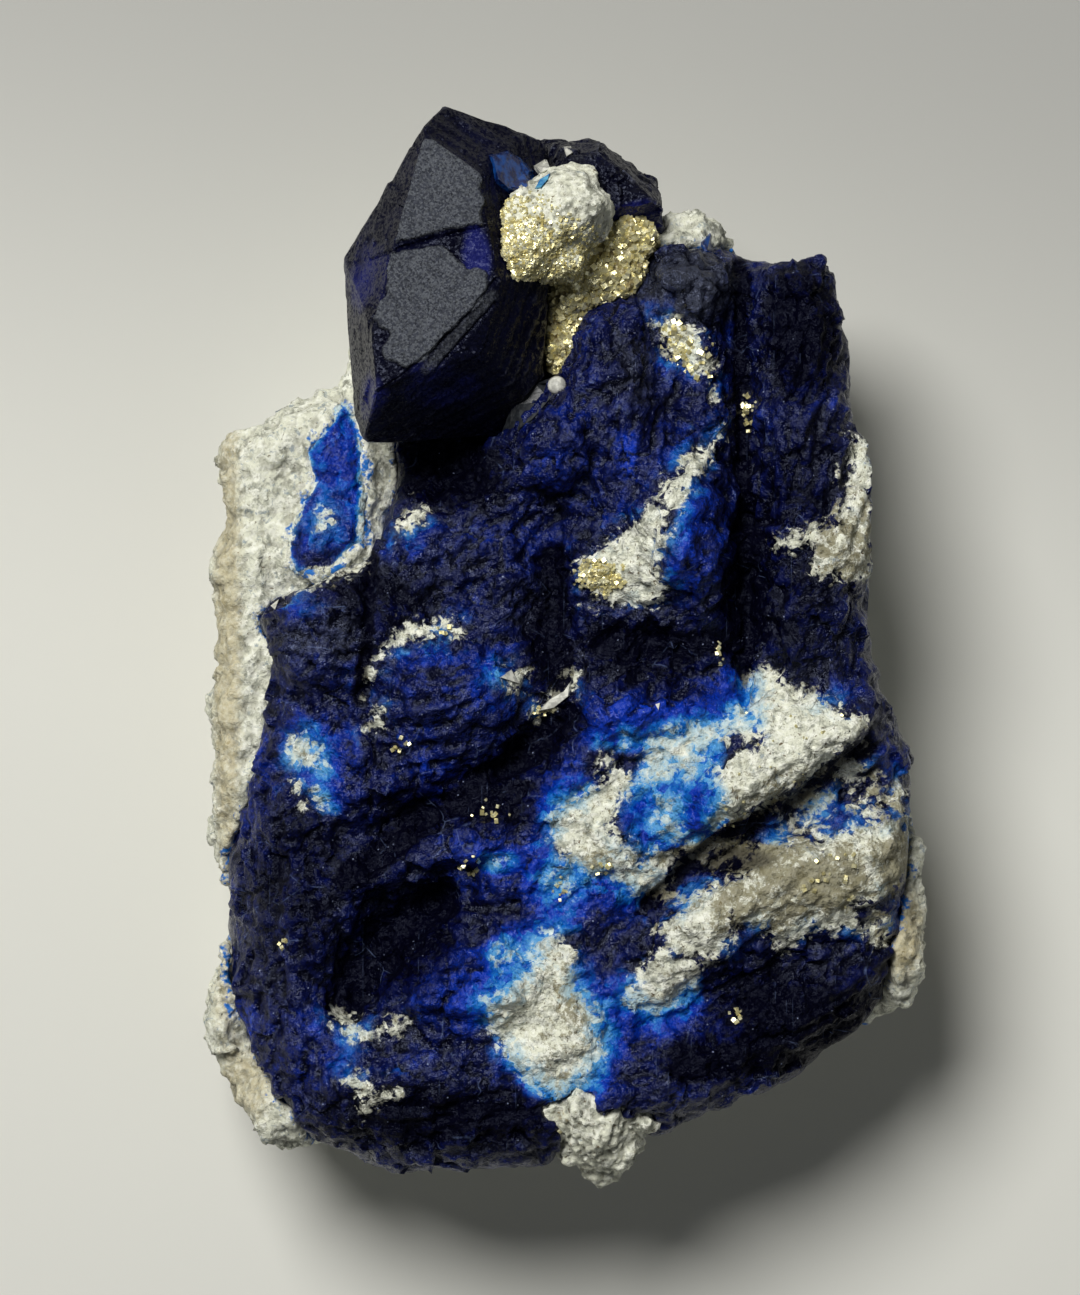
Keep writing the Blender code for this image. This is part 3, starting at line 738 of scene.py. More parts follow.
def make_marble():
    """The marble, with a shallow hollow round the blue patch."""
    nodes = {"marble_matrix": 0.0, "lazurite_patch": 0.45}
    piece = fine_stone("marble", nodes, voxel=0.86, rounds=5, split=shows_marble)
    points = positions(piece)
    contact = blue_contact(points)
    above = smooth_step(points[:, 2], 0.6, 3.0)
    height = 0.38 * layered(points, 4.2, 3, 71) + 0.22 * layered(points, 1.5, 2, 73)
    height += chipped(points, 2.4, 0.22, 74) + chipped(points, 1.1, 0.16, 75)
    height += 0.5 * smooth_step(contact, -0.6, 0.4)
    height -= 1.3 * smooth_step(outline_depth(points[:, :2], BLUE_PATCH_OUTLINE), -0.1, 0.6)
    raise_by(piece, height * above)
    points = positions(piece)
    keep(piece, "calcite", contact)
    keep(piece, "ochre", zones_sum(points[:, :2], OCHRE_ZONES))
    keep(piece, "ridge", sharpness(piece))
    return piece


def blue_contact(points):
    """How near the marble is to blue mineral, above 0 at the contact."""
    nearest = np.full(len(points), 9.0)
    high = np.flatnonzero(points[:, 2] > CONTACT_LEVEL)
    for node in ("lazurite_mass", "lazurite_patch"):
        tree = BVHTree.FromBMesh(node_mesh(node))
        for i in high:
            distance = tree.find_nearest(Vector(points[i]) * MM, CONTACT_REACH * MM)[3]
            if distance is not None:
                nearest[i] = min(nearest[i], distance / MM)
    return 1.0 - nearest


def make_white(name, node, seed, swell, voxel, lumpy):
    """A white or golden lump with a rough skin, whose seeds start at the given one."""
    piece = fine_stone(name, {node: swell}, voxel, rounds=4)
    points = positions(piece)
    height = 0.38 * layered(points, 2.4, 3, seed) + 0.16 * layered(points, 0.9, 2, seed + 4)
    height += chipped(points, 1.1, 0.34, seed + 7)
    raise_by(piece, height * lumpy)
    keep(piece, "ridge", sharpness(piece))
    points = positions(piece)
    keep(piece, "gold", zones_sum(points[:, :2], GOLD_ZONES))
    return piece


# Materials


class Graph:
    """A material's nodes, written as short calls."""

    def __init__(self, name):
        self.material = bpy.data.materials.new(name)
        self.material.use_nodes = True
        self.tree = self.material.node_tree
        self.shader = self.tree.nodes["Principled BSDF"]
        self.place = self.node("ShaderNodeTexCoord").outputs["Object"]

    def node(self, kind, **settings):
        made = self.tree.nodes.new(kind)
        for name, value in settings.items():
            setattr(made, name, value)
        return made

    def feed(self, socket, value):
        if isinstance(value, bpy.types.NodeSocket):
            self.tree.links.new(value, socket)
        else:
            socket.default_value = value

    def give(self, name, value):
        """Feeds one of the shader's own sockets."""
        self.feed(self.shader.inputs[name], value)

    def stretched(self, stretch):
        mapping = self.node("ShaderNodeMapping")
        self.feed(mapping.inputs["Vector"], self.place)
        mapping.inputs["Scale"].default_value = stretch
        return mapping.outputs["Vector"]

    def noise(self, size, detail=4.0, rough=0.55, place=None, twist=0.0):
        made = self.node("ShaderNodeTexNoise")
        self.feed(made.inputs["Vector"], place or self.place)
        made.inputs["Scale"].default_value = 1 / (size * MM)
        made.inputs["Detail"].default_value = detail
        made.inputs["Roughness"].default_value = rough
        made.inputs["Distortion"].default_value = twist
        return made.outputs["Fac"]

    def grains(self, size, feature="F1"):
        made = self.node("ShaderNodeTexVoronoi", feature=feature)
        self.feed(made.inputs["Vector"], self.place)
        made.inputs["Scale"].default_value = 1 / (size * MM)
        return made

    def math(self, operation, a, b=0.0, c=0.0):
        made = self.node("ShaderNodeMath", operation=operation)
        for socket, value in zip(made.inputs, (a, b, c)):
            self.feed(socket, value)
        return made.outputs[0]

    def step(self, value, low, high, to_low=0.0, to_high=1.0):
        """A smooth step from to_low to to_high as value goes from low to high."""
        made = self.node("ShaderNodeMapRange", interpolation_type="SMOOTHSTEP")
        self.feed(made.inputs["Value"], value)
        limits = {"From Min": low, "From Max": high, "To Min": to_low, "To Max": to_high}
        for name, number in limits.items():
            made.inputs[name].default_value = number
        return made.outputs["Result"]

    def mix(self, share, a, b):
        """Colour a where the share is 0, and b where it is 1."""
        made = self.node("ShaderNodeMix", data_type="RGBA")
        self.feed(made.inputs["Factor"], share)
        self.feed(made.inputs["A"], a if isinstance(a, bpy.types.NodeSocket) else (*a, 1.0))
        self.feed(made.inputs["B"], b if isinstance(b, bpy.types.NodeSocket) else (*b, 1.0))
        return made.outputs["Result"]

    def centred(self, value):
        return self.math("SUBTRACT", value, 0.5)

    def total(self, value, *others):
        """The value plus each of the others times its weight."""
        for other, weight in others:
            value = self.math("MULTIPLY_ADD", other, weight, value)
        return value

    def field(self, name):
        return self.node("ShaderNodeAttribute", attribute_name=name).outputs["Fac"]

    def chance(self, size, twist):
        """A number from -0.5 to 0.5 for each grain, with the grains' edges bent by a twist."""
        bend = self.node("ShaderNodeTexNoise")
        self.feed(bend.inputs["Vector"], self.place)
        bend.inputs["Scale"].default_value = 1 / (size * MM)
        bent = self.node("ShaderNodeVectorMath", operation="MULTIPLY_ADD")
        self.feed(bent.inputs[0], bend.outputs["Color"])
        bent.inputs[1].default_value = (twist * size * MM,) * 3
        self.feed(bent.inputs[2], self.place)
        grain = self.grains(size)
        self.feed(grain.inputs["Vector"], bent.outputs[0])
        parts = self.node("ShaderNodeSeparateColor")
        self.feed(parts.inputs[0], grain.outputs["Color"])
        return self.math("SUBTRACT", parts.outputs["Red"], 0.5)

    def glitter(self, size, tilt):
        """A normal that turns a little from grain to grain, so that some of them glint."""
        colour = self.grains(size).outputs["Color"]
        centred = self.node("ShaderNodeVectorMath", operation="SUBTRACT")
        self.feed(centred.inputs[0], colour)
        centred.inputs[1].default_value = (0.5, 0.5, 0.5)
        scaled = self.node("ShaderNodeVectorMath", operation="SCALE")
        self.feed(scaled.inputs[0], centred.outputs[0])
        scaled.inputs["Scale"].default_value = tilt
        return scaled.outputs[0]

    def surface(self, heights, glitter=None):
        """Bumps from pairs of a height socket and its depth, with glinting grains on top."""
        normal = None
        for height, depth in heights:
            bump = self.node("ShaderNodeBump")
            bump.inputs["Distance"].default_value = depth * MM
            self.feed(bump.inputs["Height"], height)
            if normal:
                self.feed(bump.inputs["Normal"], normal)
            normal = bump.outputs["Normal"]
        if glitter:
            added = self.node("ShaderNodeVectorMath", operation="ADD")
            self.feed(added.inputs[0], normal)
            self.feed(added.inputs[1], glitter)
            unit = self.node("ShaderNodeVectorMath", operation="NORMALIZE")
            self.feed(unit.inputs[0], added.outputs[0])
            normal = unit.outputs[0]
        self.give("Normal", normal)


def white_stone_colour(graph, brown_low, clear_low):
    """Creamy calcite with brown specks and clearer grey grains, fewer where their low is higher."""
    tone = graph.noise(1.9, 6.0, 0.66, twist=0.5)
    colour = graph.mix(graph.step(tone, 0.36, 0.54), STONE_GREY, CREAM)
    colour = graph.mix(graph.step(graph.noise(0.8, 4.0, 0.65), 0.46, 0.60), colour, WARM_WHITE)
    clear = graph.step(graph.noise(1.3, 5.0, 0.7, twist=0.8), clear_low, clear_low + 0.10)
    colour = graph.mix(graph.math("MULTIPLY", clear, 0.7), colour, BLUE_GREY)
    specks = graph.step(graph.noise(0.55, 3.0, 0.7, twist=0.6), brown_low, brown_low + 0.08)
    return graph.mix(specks, colour, BROWN)


def lazurite_colour(graph, swing, uneven, grainy):
    """Blue from nearly black to vivid, with painted shade in the hollows and shaded zones, dull grey
    where it is worn and where sheen is painted, with a fine paler network painted as sheen.
    """
    # Besides the stone's own lighter and darker blue, this lightness carries painted shade: it drops in
    # the shaded zones and the hollows and rises on ridges.
    light = graph.total(
        graph.field("bright"), (swing, 1.8), (uneven, 1.7), (grainy, 1.7), (graph.field("dark_and_shade"), -0.9),
        (graph.field("worn"), -0.5), (graph.field("ridge"), 0.3))
    blue = graph.mix(graph.step(light, -0.55, 0.12), BLACK, NAVY)
    blue = graph.mix(graph.step(light, 0.12, 0.70), blue, ULTRAMARINE)
    blue = graph.mix(graph.step(light, 0.70, 1.3), blue, VIVID)
    # Painted sheen: thin pale lines where the grains would catch the light.
    sheen_lines = graph.math("ABSOLUTE", graph.centred(graph.noise(1.7, 5.0, 0.6, twist=1.2)))
    network = graph.step(sheen_lines, 0.0, 0.04, 1.0, 0.0)
    place = graph.total(graph.field("worn"), (swing, 2.4), (grainy, 2.0), (graph.field("dark_and_shade"), -0.8))
    network = graph.math("MULTIPLY", network, graph.step(place, -0.1, 0.8))
    blue = graph.mix(graph.math("MULTIPLY", network, 0.5), blue, NETWORK_SHEEN)
    # A dull grey, partly for wear and partly painted sheen where facets catch the light.
    dust_and_sheen = graph.total(graph.field("worn"), (uneven, 1.6), (grainy, 2.6))
    return graph.mix(graph.step(dust_and_sheen, 0.3, 1.3, 0.0, 0.75), blue, WORN_SHEEN_GREY)


def with_scratches(graph, colour, swing):
    """Hair-fine pale scratches, upright and crossing, and scattered pale specks painted as glints."""
    upright = graph.noise(1.0, 2.0, 0.5, graph.stretched((5.0, 0.06, 0.6)))
    colour = graph.mix(graph.step(upright, 0.68, 0.74, 0.0, 0.14), colour, SCRATCH)
    hairs = graph.step(graph.grains(5.0, "DISTANCE_TO_EDGE").outputs["Distance"], 0.0, 0.018, 0.25, 0.0)
    colour = graph.mix(graph.math("MULTIPLY", hairs, graph.step(swing, 0.02, 0.10)), colour, SCRATCH)
    # Painted glints: a few grains are painted as pale specks.
    grain = graph.grains(0.5)
    painted_glint = graph.step(grain.outputs["Distance"], 0.10, 0.24, 1.0, 0.0)
    parts = graph.node("ShaderNodeSeparateColor")
    graph.feed(parts.inputs[0], grain.outputs["Color"])
    chosen = graph.step(parts.outputs["Red"], 0.95, 0.96)
    return graph.mix(graph.math("MULTIPLY", painted_glint, chosen), colour, GLINT_SPECK)


def with_halo(graph, blue, uneven, grainy, halo):
    """The blue gets brighter towards the calcite, where the halo is strong."""
    near = graph.total(
        graph.field("calcite"), (uneven, 3.4), (grainy, 2.6), (graph.chance(1.0, 0.6), 1.4))
    for start, full, top, colour in HALO:
        share = graph.step(near, start, full, 0.0, top)
        blue = graph.mix(graph.math("MULTIPLY", share, halo), blue, colour)
    return blue


def stained_stone_colour(graph, uneven, grainy, depth, halo):
    """Calcite, stained, with painted shade in the grooves and shaded zones, and bluish at its edge."""
    stain = graph.total(
        graph.field("stain"), (uneven, 2.2), (grainy, 3.0), (graph.chance(0.9, 0.6), 0.8))
    stone = graph.mix(graph.step(stain, 0.2, 0.9, 0.0, 0.8), white_stone_colour(graph, 0.60, 0.60), STAIN)
    # Painted shade: the calcite goes towards SHADE in the grooves and shaded zones.
    stone = graph.mix(graph.step(graph.field("dark_and_shade"), 0.35, 1.0, 0.0, 0.8), stone, SHADE)
    edge = graph.math("MULTIPLY", graph.step(depth, 0.2, 2.0, 0.7, 0.0), halo)
    return graph.mix(edge, stone, PALE_BLUE)


def front_material(name):
    """Lazurite and calcite grown through each other."""
    graph = Graph(name)
    swing = graph.centred(graph.noise(5.0, 4.0, 0.6))
    uneven = graph.centred(graph.noise(1.8, 5.0, 0.65, twist=0.4))
    grainy = graph.centred(graph.noise(0.36, 5.0, 0.75))
    blue = with_scratches(graph, lazurite_colour(graph, swing, uneven, grainy), swing)
    # Painted shade: the hollows are darkened towards BLACK.
    blue = graph.mix(graph.step(graph.field("ridge"), -0.8, 0.1, 0.85, 0.0), blue, BLACK)
    halo = graph.total(graph.field("bright"), (swing, 1.8), (graph.field("dark_and_shade"), -0.8))
    halo = graph.step(halo, -0.05, 0.5)
    blue = with_halo(graph, blue, uneven, grainy, halo)
    depth = graph.total(
        graph.field("calcite"), (uneven, 4.6), (grainy, 2.2), (graph.chance(0.7, 0.6), 1.2))
    white = graph.step(depth, -0.35, 0.40)
    stone = stained_stone_colour(graph, uneven, grainy, depth, halo)
    graph.give("Base Color", graph.mix(white, blue, stone))
    gloss = graph.step(graph.chance(0.8, 0.5), -0.5, 0.5, 0.12, 0.45)
    dull = graph.math("MULTIPLY", white, 0.8)
    graph.give("Roughness", graph.math("MAXIMUM", gloss, dull))
    graph.give("Specular IOR Level", graph.step(graph.field("dark_and_shade"), -0.1, 0.8, 0.48, 0.10))
    graph.give("Specular Tint", LAZURITE_GLOSS)
    graph.surface(
        [(graph.noise(2.4, 4.0, 0.55), 1.2), (graph.noise(0.8, 4.0, 0.7), 0.30)],
        graph.glitter(0.50, 0.50))
    return graph.material


def calcite_material():
    graph = Graph("calcite_surface")
    fine = graph.noise(0.6, 4.0, 0.7)
    gold = graph.total(graph.field("gold"), (graph.centred(fine), 1.6))
    colour = white_stone_colour(graph, 0.60, 0.62)
    colour = graph.mix(graph.step(gold, 0.15, 0.5), colour, GOLD_STAIN)
    return finished_stone(graph, colour, fine)


def marble_material():
    """Marble with ochre stains, and azure where it meets the blue minerals."""
    graph = Graph("marble_surface")
    fine = graph.noise(0.6, 4.0, 0.7)
    drift = graph.noise(2.4, 3.0, 0.6)
    near = graph.total(graph.field("calcite"), (graph.centred(fine), 2.4), (graph.centred(drift), 3.0))
    ochre = graph.total(graph.field("ochre"), (graph.centred(fine), 1.6))
    colour = white_stone_colour(graph, 0.63, 0.56)
    colour = graph.mix(graph.step(ochre, 0.1, 1.2, 0.0, 0.8), colour, OCHRE)
    colour = graph.mix(graph.step(near, 0.35, 0.9), colour, AZURE)
    return finished_stone(graph, colour, fine)


def finished_stone(graph, colour, fine):
    """Paints shade into the hollows of a white stone, and gives it a rough, glinting surface."""
    hollow = graph.step(graph.field("ridge"), -0.9, 0.3, 0.45, 0.0)
    graph.give("Base Color", graph.mix(hollow, colour, HOLLOW_SHADE))
    graph.give("Roughness", graph.step(fine, 0.3, 0.7, 0.75, 0.5))
    graph.surface(
        [(graph.noise(0.8, 5.0, 0.7), 0.25), (graph.noise(0.3, 3.0, 0.6), 0.10)],
        graph.glitter(0.35, 0.45))
    return graph.material


def frosted_material():
    graph = Graph("frosted_faces")
    fine = graph.noise(0.30, 3.0, 0.6)
    drift = graph.noise(4.0, 4.0, 0.6)
    frost = graph.total(graph.field("frost"), (graph.centred(fine), 0.8))
    colour = graph.mix(graph.step(drift, 0.4, 0.7), BLACK, CRYSTAL_BLACK)
    blue = graph.total(graph.field("blue"), (drift, 1.4))
    colour = graph.mix(graph.step(blue, 1.0, 1.8), colour, CRYSTAL_BLUE)
    salt = graph.step(graph.chance(0.15, 0.5), -0.4, 0.5)
    grey = graph.mix(salt, FROST_LOW, FROST_HIGH)
    colour = graph.mix(graph.step(frost, 0.2, 1.0), colour, grey)
    worn = graph.step(graph.field("ridge"), 0.3, 1.0, 0.0, 0.25)
    graph.give("Base Color", graph.mix(worn, colour, WORN_EDGE))
    graph.give("Roughness", graph.step(frost, 0.0, 1.0, 0.34, 0.60))
    graph.give("Specular IOR Level", 0.2)
    graph.give("Specular Tint", CRYSTAL_GLOSS)
    graph.surface(
        [(graph.noise(1.1, 4.0, 0.6), 0.12), (graph.noise(0.22, 2.0, 0.6), 0.06)],
        graph.glitter(0.24, 0.75))
    return graph.material


def pyrite_material():
    graph = Graph("pyrite_grains")
    tone = graph.noise(0.8, 3.0, 0.6)
    graph.give("Base Color", graph.mix(graph.step(tone, 0.4, 0.6), PYRITE_LOW, PYRITE_HIGH))
    graph.give("Metallic", 0.6)
    graph.give("Roughness", graph.step(tone, 0.3, 0.7, 0.42, 0.24))
    graph.surface([(graph.noise(0.2, 2.0, 0.6), 0.03)])
    return graph.material


def pyrite_bed_material():
    graph = Graph("pyrite_bed")
    tone = graph.noise(0.7, 4.0, 0.65)
    graph.give("Base Color", graph.mix(graph.step(tone, 0.4, 0.62), BED_LOW, BED_HIGH))
    graph.give("Metallic", 0.3)
    graph.give("Roughness", graph.step(tone, 0.3, 0.7, 0.6, 0.35))
    graph.surface([(graph.noise(0.5, 3.0, 0.7), 0.2)], graph.glitter(0.3, 0.9))
    return graph.material


def floor_material():
    """Pale card with painted light falloff: it gets darker away from the viewer."""
    graph = Graph("floor_card")
    parts = graph.node("ShaderNodeSeparateXYZ")
    graph.feed(parts.inputs[0], graph.place)
    away = graph.total(parts.outputs["Y"], (parts.outputs["X"], 0.15))
    graph.give("Base Color", graph.mix(graph.step(away, -15 * MM, 85 * MM), CARD_LOW, CARD_HIGH))
    graph.give("Roughness", 0.9)
    return graph.material


# The crystals


def cut_fine(mesh, longest, chosen=None):
    """Splits a flat-faced mesh until no chosen edge is longer than the given length."""
    bmesh.ops.triangulate(mesh, faces=mesh.faces)
    for _ in range(12):
        long_edges = [
            edge for edge in mesh.edges
            if edge.calc_length() > longest * MM and (chosen is None or chosen(edge))
        ]
        if not long_edges:
            break
        bmesh.ops.subdivide_edges(mesh, edges=long_edges, cuts=1)
        bmesh.ops.triangulate(mesh, faces=[face for face in mesh.faces if len(face.verts) > 3])


def plates_share(points, upward):
    """1 on the raised plates of the large crystal's front, with a frayed edge."""
    plates = np.max([outline_depth(points[:, :2], outline) for outline in PLATES], axis=0)
    plates = plates + 0.35 * noise(points, 1.6, 81) + 0.15 * noise(points, 0.7, 82)
    return smooth_step(plates, -0.15, 0.2) * upward


def crystal_height(points, facing, raised):
    """The large crystal's relief: plates, cracks, chips, and steps along its lower right faces."""
    height = 0.34 * raised + 0.05 * noise(points, 2.2, 83)
    for line, half_width, deep in CRACKS:
        away = line_distance(points[:, :2], line) + 0.12 * noise(points, 1.2, 84)
        crack = 1 - smooth_step(away, 0.0, 2.2 * half_width)
        height -= deep * crack * smooth_step(facing[:, 2], 0.2, 0.5)
    beyond = 0.76 * points[:, 0] - 0.65 * points[:, 1] + 0.3 * noise(points, 3.0, 86)
    lined = smooth_step(facing[:, 0], 0.2, 0.5) * (1 - smooth_step(facing[:, 2], 0.6, 0.9))
    steps = drawn_out((points[:, 2], beyond, 0 * beyond), (0.9, 9.0, 1.0), 87)
    return height + 0.22 * lined * steps + 0.10 * chipped(points, 3.0, 0.5, 88) * (1 - raised)


def make_crystal(material):
    mesh = node_mesh("lazurite_crystal")
    cut_fine(mesh, 0.8)
    cut_fine(mesh, 0.30, lambda edge: min(v.co.z for v in edge.verts) > CRYSTAL_FRONT * MM)
    piece = new_piece("large_crystal", mesh)
    points, facing = positions(piece), normals(piece)
    upward = smooth_step(facing[:, 2], 0.55, 0.85) * (points[:, 2] > CRYSTAL_FRONT)
    raised = plates_share(points, upward)
    raise_by(piece, crystal_height(points, facing, raised))
    strip = 1 - smooth_step(line_distance(points[:, :2], FROSTED_STRIP), 0.3, 0.9)
    keep(piece, "frost", np.maximum(raised + 0.12 * upward, 0.65 * strip * (facing[:, 2] > 0.3)))
    return finished_crystal(piece, "lazurite_crystal", CRYSTAL_BLUES, material)


def make_rear_crystal(material):
    mesh = node_mesh("rear_crystal")
    cut_fine(mesh, 0.45)
    piece = new_piece("small_crystal", mesh)
    points = positions(piece)
    leaning = points[:, 0] - 0.4 * points[:, 1]
    lines = drawn_out((leaning, points[:, 1], points[:, 2]), (1.1, 6.0, 6.0), 91)
    raise_by(piece, 0.20 * lines + 0.1 * layered(points, 2.2, 2, 92) + chipped(points, 2.4, 0.16, 93))
    keep(piece, "frost", 0.1 + 0.3 * smooth_step(noise(positions(piece), 4.0, 94), 0.0, 0.6))
    return finished_crystal(piece, "rear_crystal", REAR_CRYSTAL_BLUES, material)


def finished_crystal(piece, node, blues, material):
    keep(piece, "blue", np.clip(zones_sum(positions(piece)[:, :2], blues), 0, 1.5))
    keep(piece, "ridge", sharpness(piece, 2))
    flat_shaded(piece, True)
    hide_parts(node)
    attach(piece, "root")
    return dress(piece, material)


# Pyrite grains


def add_cube(mesh, middle, size, draw):
    """A small block, turned at random."""
    axis = Vector([draw.random() - 0.5 for _ in range(3)])
    turn = axis.to_track_quat("Z", "Y").to_matrix()
    verts = []
    for x in (-0.5, 0.5):
        for y in (-0.5, 0.5):
            for z in (-0.5, 0.5):
                corner = turn @ Vector((x * size[0], y * size[1], z * size[2]))
                verts.append(mesh.verts.new((middle + corner) * MM))
    for face in BLOCK_FACES:
        mesh.faces.new([verts[i] for i in face])


def scatter(mesh, piece, count, share, sizes, draw):
    """Sets grains into a piece's faces where share(middle, normal) is above a random number."""
    faces = [
        (face.center / MM, face.normal.copy()) for face in piece.data.polygons if face.normal.z > -0.2
    ]
    for _ in range(MOST_TRIES):
        if count == 0:
            break
        middle, facing = faces[draw.randrange(len(faces))]
        if draw.random() < share(middle, facing):
            size = draw.uniform(*sizes)
            sides = (size, size * draw.uniform(0.8, 1.2), size * draw.uniform(0.8, 1.3))
            add_cube(mesh, middle + facing * 0.15 * size, sides, draw)
            count -= 1


def make_grains(pieces):
    """All the pyrite grains, as one piece."""
    draw = random.Random(7)
    mesh = bmesh.new()
    scatter(mesh, pieces["pyrite_bed"], 3000, lambda p, n: 1.0, (0.22, 0.55), draw)
    scatter(mesh, pieces["pocket"], 260, pocket_share, (0.22, 0.55), draw)
    scatter(mesh, pieces["nodule"], 3000, nodule_share, (0.12, 0.32), draw)
    scatter(mesh, pieces["vein"], 220, zone_share, (0.2, 0.45), draw)
    scatter(mesh, pieces["mass"], 420, zone_share, (0.2, 0.42), draw)
    scatter(mesh, pieces["rib"], 40, lambda p, n: 0.2, (0.15, 0.3), draw)
    bmesh.ops.recalc_face_normals(mesh, faces=mesh.faces)
    piece = new_piece("pyrite_grains", mesh)
    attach(piece, "root")
    dress(piece, pyrite_material())


def zone_share(middle, facing):
    xy = np.array([[middle[0], middle[1]]])
    return float(zones_sum(xy, GOLD_ZONES)[0]) if facing[2] > 0 else 0.0


def pocket_share(middle, facing):
    """1 in the pocket's left half, falling to 0 at its right edge."""
    return 1.0 - min(max((middle[0] - 12.5) / 3.0, 0.0), 1.0)


def nodule_share(middle, facing):
    """1 at the nodule's lower left, falling to 0 at its upper right."""
    low = min(max((44.8 - middle[1] - 0.45 * (middle[0] + 2.0)) / 6.0, 0.0), 1.0)
    return low**1.5


# Small wedges and a round grain


def surface_tree(piece):
    mesh = piece.data
    return BVHTree.FromPolygons([v.co for v in mesh.vertices], [p.vertices for p in mesh.polygons])


def ground(x, y, trees):
    """The height of the highest surface over a place, in millimetres."""
    above = Vector((x * MM, y * MM, 0.1))
    hits = [tree.ray_cast(above, Vector((0, 0, -1)))[0] for tree in trees]
    return max(hit.z / MM for hit in hits if hit is not None)


def add_shard(mesh, outline, rise, trees):
    """A wedge on the surface: its foot below it, its top narrower and tilted with the surface."""
    middle = outline.mean(axis=0)
    foot, top = [], []
    for x, y in outline:
        height = ground(x, y, trees)
        foot.append(mesh.verts.new(Vector((x, y, height - 0.8)) * MM))
        inner = middle + 0.72 * (np.array((x, y)) - middle)
        top.append(mesh.verts.new(Vector((*inner, ground(*inner, trees) + rise)) * MM))
    for i in range(len(foot)):
        j = (i + 1) % len(foot)
        mesh.faces.new((foot[i], foot[j], top[j], top[i]))
    mesh.faces.new(top)
    mesh.faces.new(foot[::-1])


def make_shards(name, shards, trees, material, bead=None):
    mesh = bmesh.new()
    for outline, rise in shards:
        add_shard(mesh, outline, rise, trees)
    if bead:
        (x, y), radius = bead
        made = bmesh.ops.create_icosphere(mesh, subdivisions=3, radius=radius * MM)
        middle = Vector((x, y, ground(x, y, trees) + 0.3)) * MM
        bmesh.ops.translate(mesh, verts=made["verts"], vec=middle)
    bmesh.ops.triangulate(mesh, faces=mesh.faces)
    bmesh.ops.recalc_face_normals(mesh, faces=mesh.faces)
    piece = new_piece(name, mesh)
    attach(piece, "root")
    dress(piece, material)


def glassy_material(name, deep, clear, rough):
    graph = Graph(name)
    graph.give("Base Color", graph.mix(graph.step(graph.noise(0.9), 0.4, 0.6), deep, clear))
    graph.give("Roughness", rough)
    graph.surface([(graph.noise(0.5, 3.0, 0.6), 0.08)])
    return graph.material


def dress(piece, material):
    piece.data.materials.append(material)
    return piece


# The stage, in metres


def make_floor():
    mesh = bmesh.new()
    bmesh.ops.create_grid(mesh, x_segments=1, y_segments=1, size=1.5)
    floor = new_piece("floor", mesh)
    floor.data.materials.append(floor_material())


def area_light(name, place, target, size, watts, colour):
    light = bpy.data.lights.new(name, "AREA")
    light.shape = "DISK"
    light.size = size
    light.energy = watts
    light.color = colour
    lamp = bpy.data.objects.new(name, light)
    lamp.location = place
    lamp.rotation_euler = (Vector(place) - Vector(target)).to_track_quat("Z", "Y").to_euler()
    bpy.context.scene.collection.objects.link(lamp)


def make_studio():
    middle = (0.0, 0.0, 0.03)
    area_light("key", (-0.26, 0.40, 0.84), middle, 0.42, 9.4, (1.0, 0.99, 0.96))
    area_light("fill", (0.50, -0.25, 0.80), middle, 0.60, 0.35, (0.92, 0.96, 1.0))
    world = bpy.data.worlds.new("studio")
    world.use_nodes = True
    world.node_tree.nodes["Background"].inputs["Color"].default_value = (0.86, 0.88, 0.90, 1.0)
    world.node_tree.nodes["Background"].inputs["Strength"].default_value = 0.05
    bpy.context.scene.world = world
    bpy.context.scene.view_settings.view_transform = "Standard"


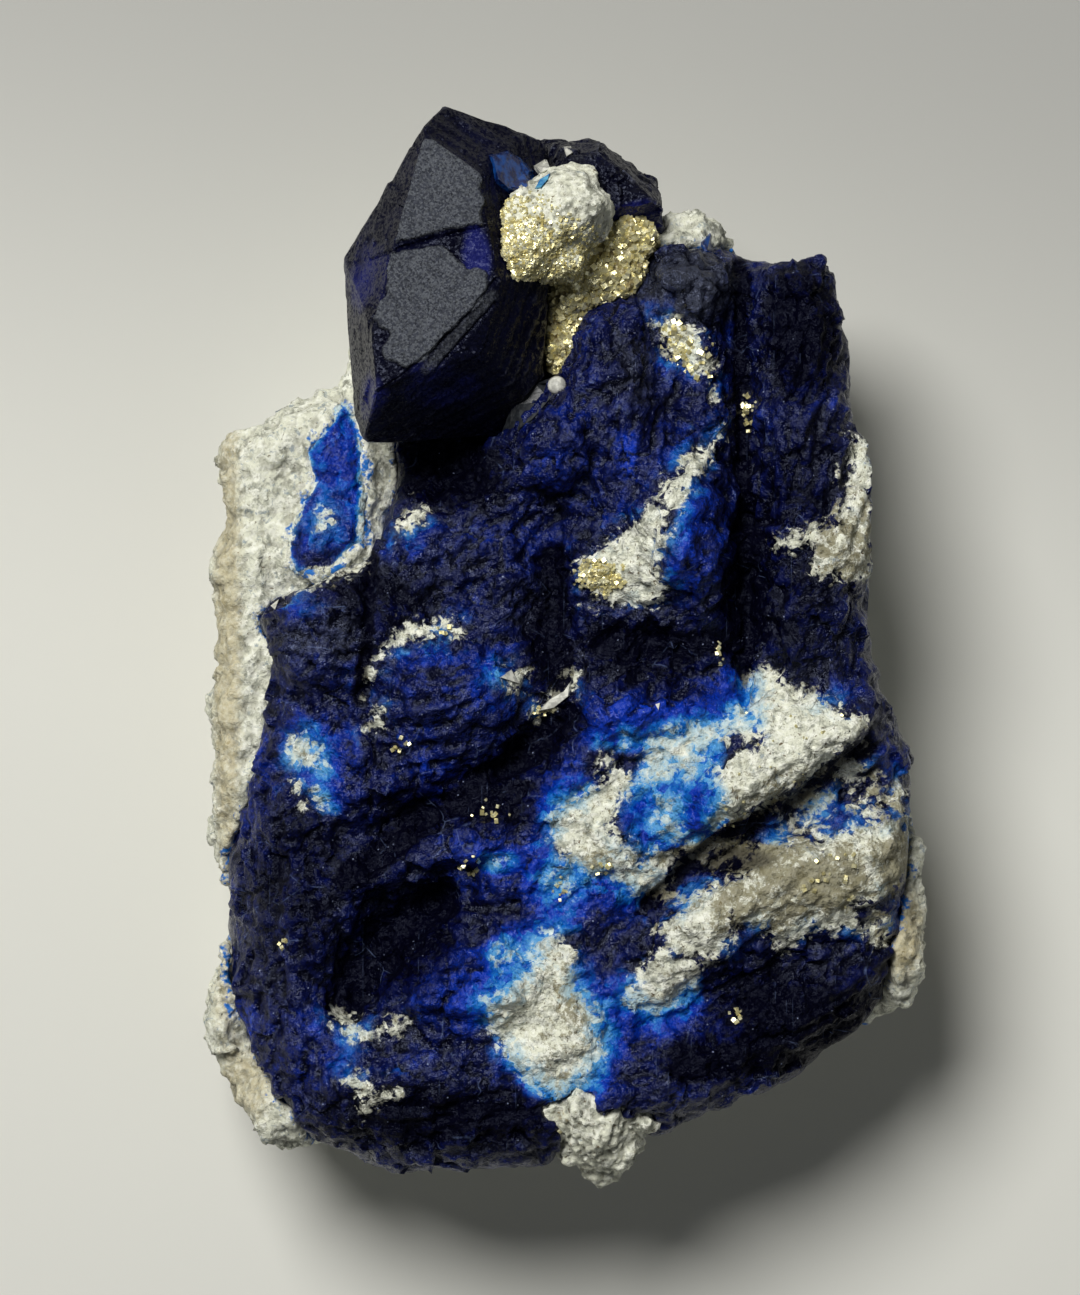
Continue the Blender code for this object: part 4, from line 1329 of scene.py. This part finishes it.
def make_camera():
    data = bpy.data.cameras.new("camera")
    data.sensor_width = SENSOR
    data.lens = SENSOR * (CAMERA_HEIGHT - FRONT_LEVEL) / PHOTO_LENGTH
    data.clip_start = 0.01
    camera = bpy.data.objects.new("camera", data)
    camera.location = (CAMERA_ACROSS * MM, 0.0, CAMERA_HEIGHT * MM)
    bpy.context.scene.collection.objects.link(camera)
    bpy.context.scene.camera = camera


def make_stone():
    """The pieces that stand for CAD nodes. Gives those that grains and wedges are set on."""
    lazurite = front_material("lazurite_front")
    calcite = calcite_material()
    frosted = frosted_material()
    pieces = {"mass": dress(make_mass(), lazurite)}
    dress(make_blue_patch(), lazurite)
    pieces["marble"] = dress(make_marble(), marble_material())
    nodule = make_white("nodule", "calcite_nodule", 141, swell=0.1, voxel=0.3, lumpy=0.7)
    pieces["nodule"] = dress(nodule, calcite)
    foot = make_white("foot_nugget", "calcite_foot", 151, swell=0.0, voxel=0.3, lumpy=1.2)
    dress(foot, calcite)
    bed = make_white("pyrite_bed", "pyrite_aggregate", 171, swell=0.2, voxel=0.34, lumpy=1.0)
    pieces["pyrite_bed"] = dress(bed, pyrite_bed_material())
    pieces["large_crystal"] = make_crystal(frosted)
    pieces["rear_crystal"] = make_rear_crystal(frosted)
    inlaid = front_material("calcite_front")
    for name in INLAYS:
        pieces[name] = dress(make_inlay(name), inlaid)
    return pieces


def make_small_things(pieces):
    """The pyrite grains and the wedges, which are set on the finished stone."""
    make_grains(pieces)
    carriers = ("mass", "marble", "nodule", "large_crystal", "rear_crystal")
    trees = [surface_tree(pieces[name]) for name in carriers]
    blue = glassy_material("blue_glass", (0.003, 0.010, 0.07), (0.008, 0.06, 0.26), 0.2)
    grey = glassy_material("grey_glass", (0.012, 0.014, 0.018), (0.035, 0.040, 0.046), 0.42)
    azure = glassy_material("azure_glass", (0.01, 0.18, 0.50), (0.10, 0.42, 0.66), 0.2)
    white = glassy_material("calcite_glass", (0.46, 0.46, 0.42), (0.80, 0.80, 0.72), 0.2)
    make_shards("blue_shards", BLUE_SHARDS, trees, blue)
    make_shards("grey_shards", GREY_SHARDS, trees, grey)
    make_shards("azure_shards", AZURE_SHARDS, trees, azure)
    make_shards("white_shards", WHITE_SHARDS, trees, white, BEAD)


make_camera()
make_floor()
make_studio()
make_small_things(make_stone())
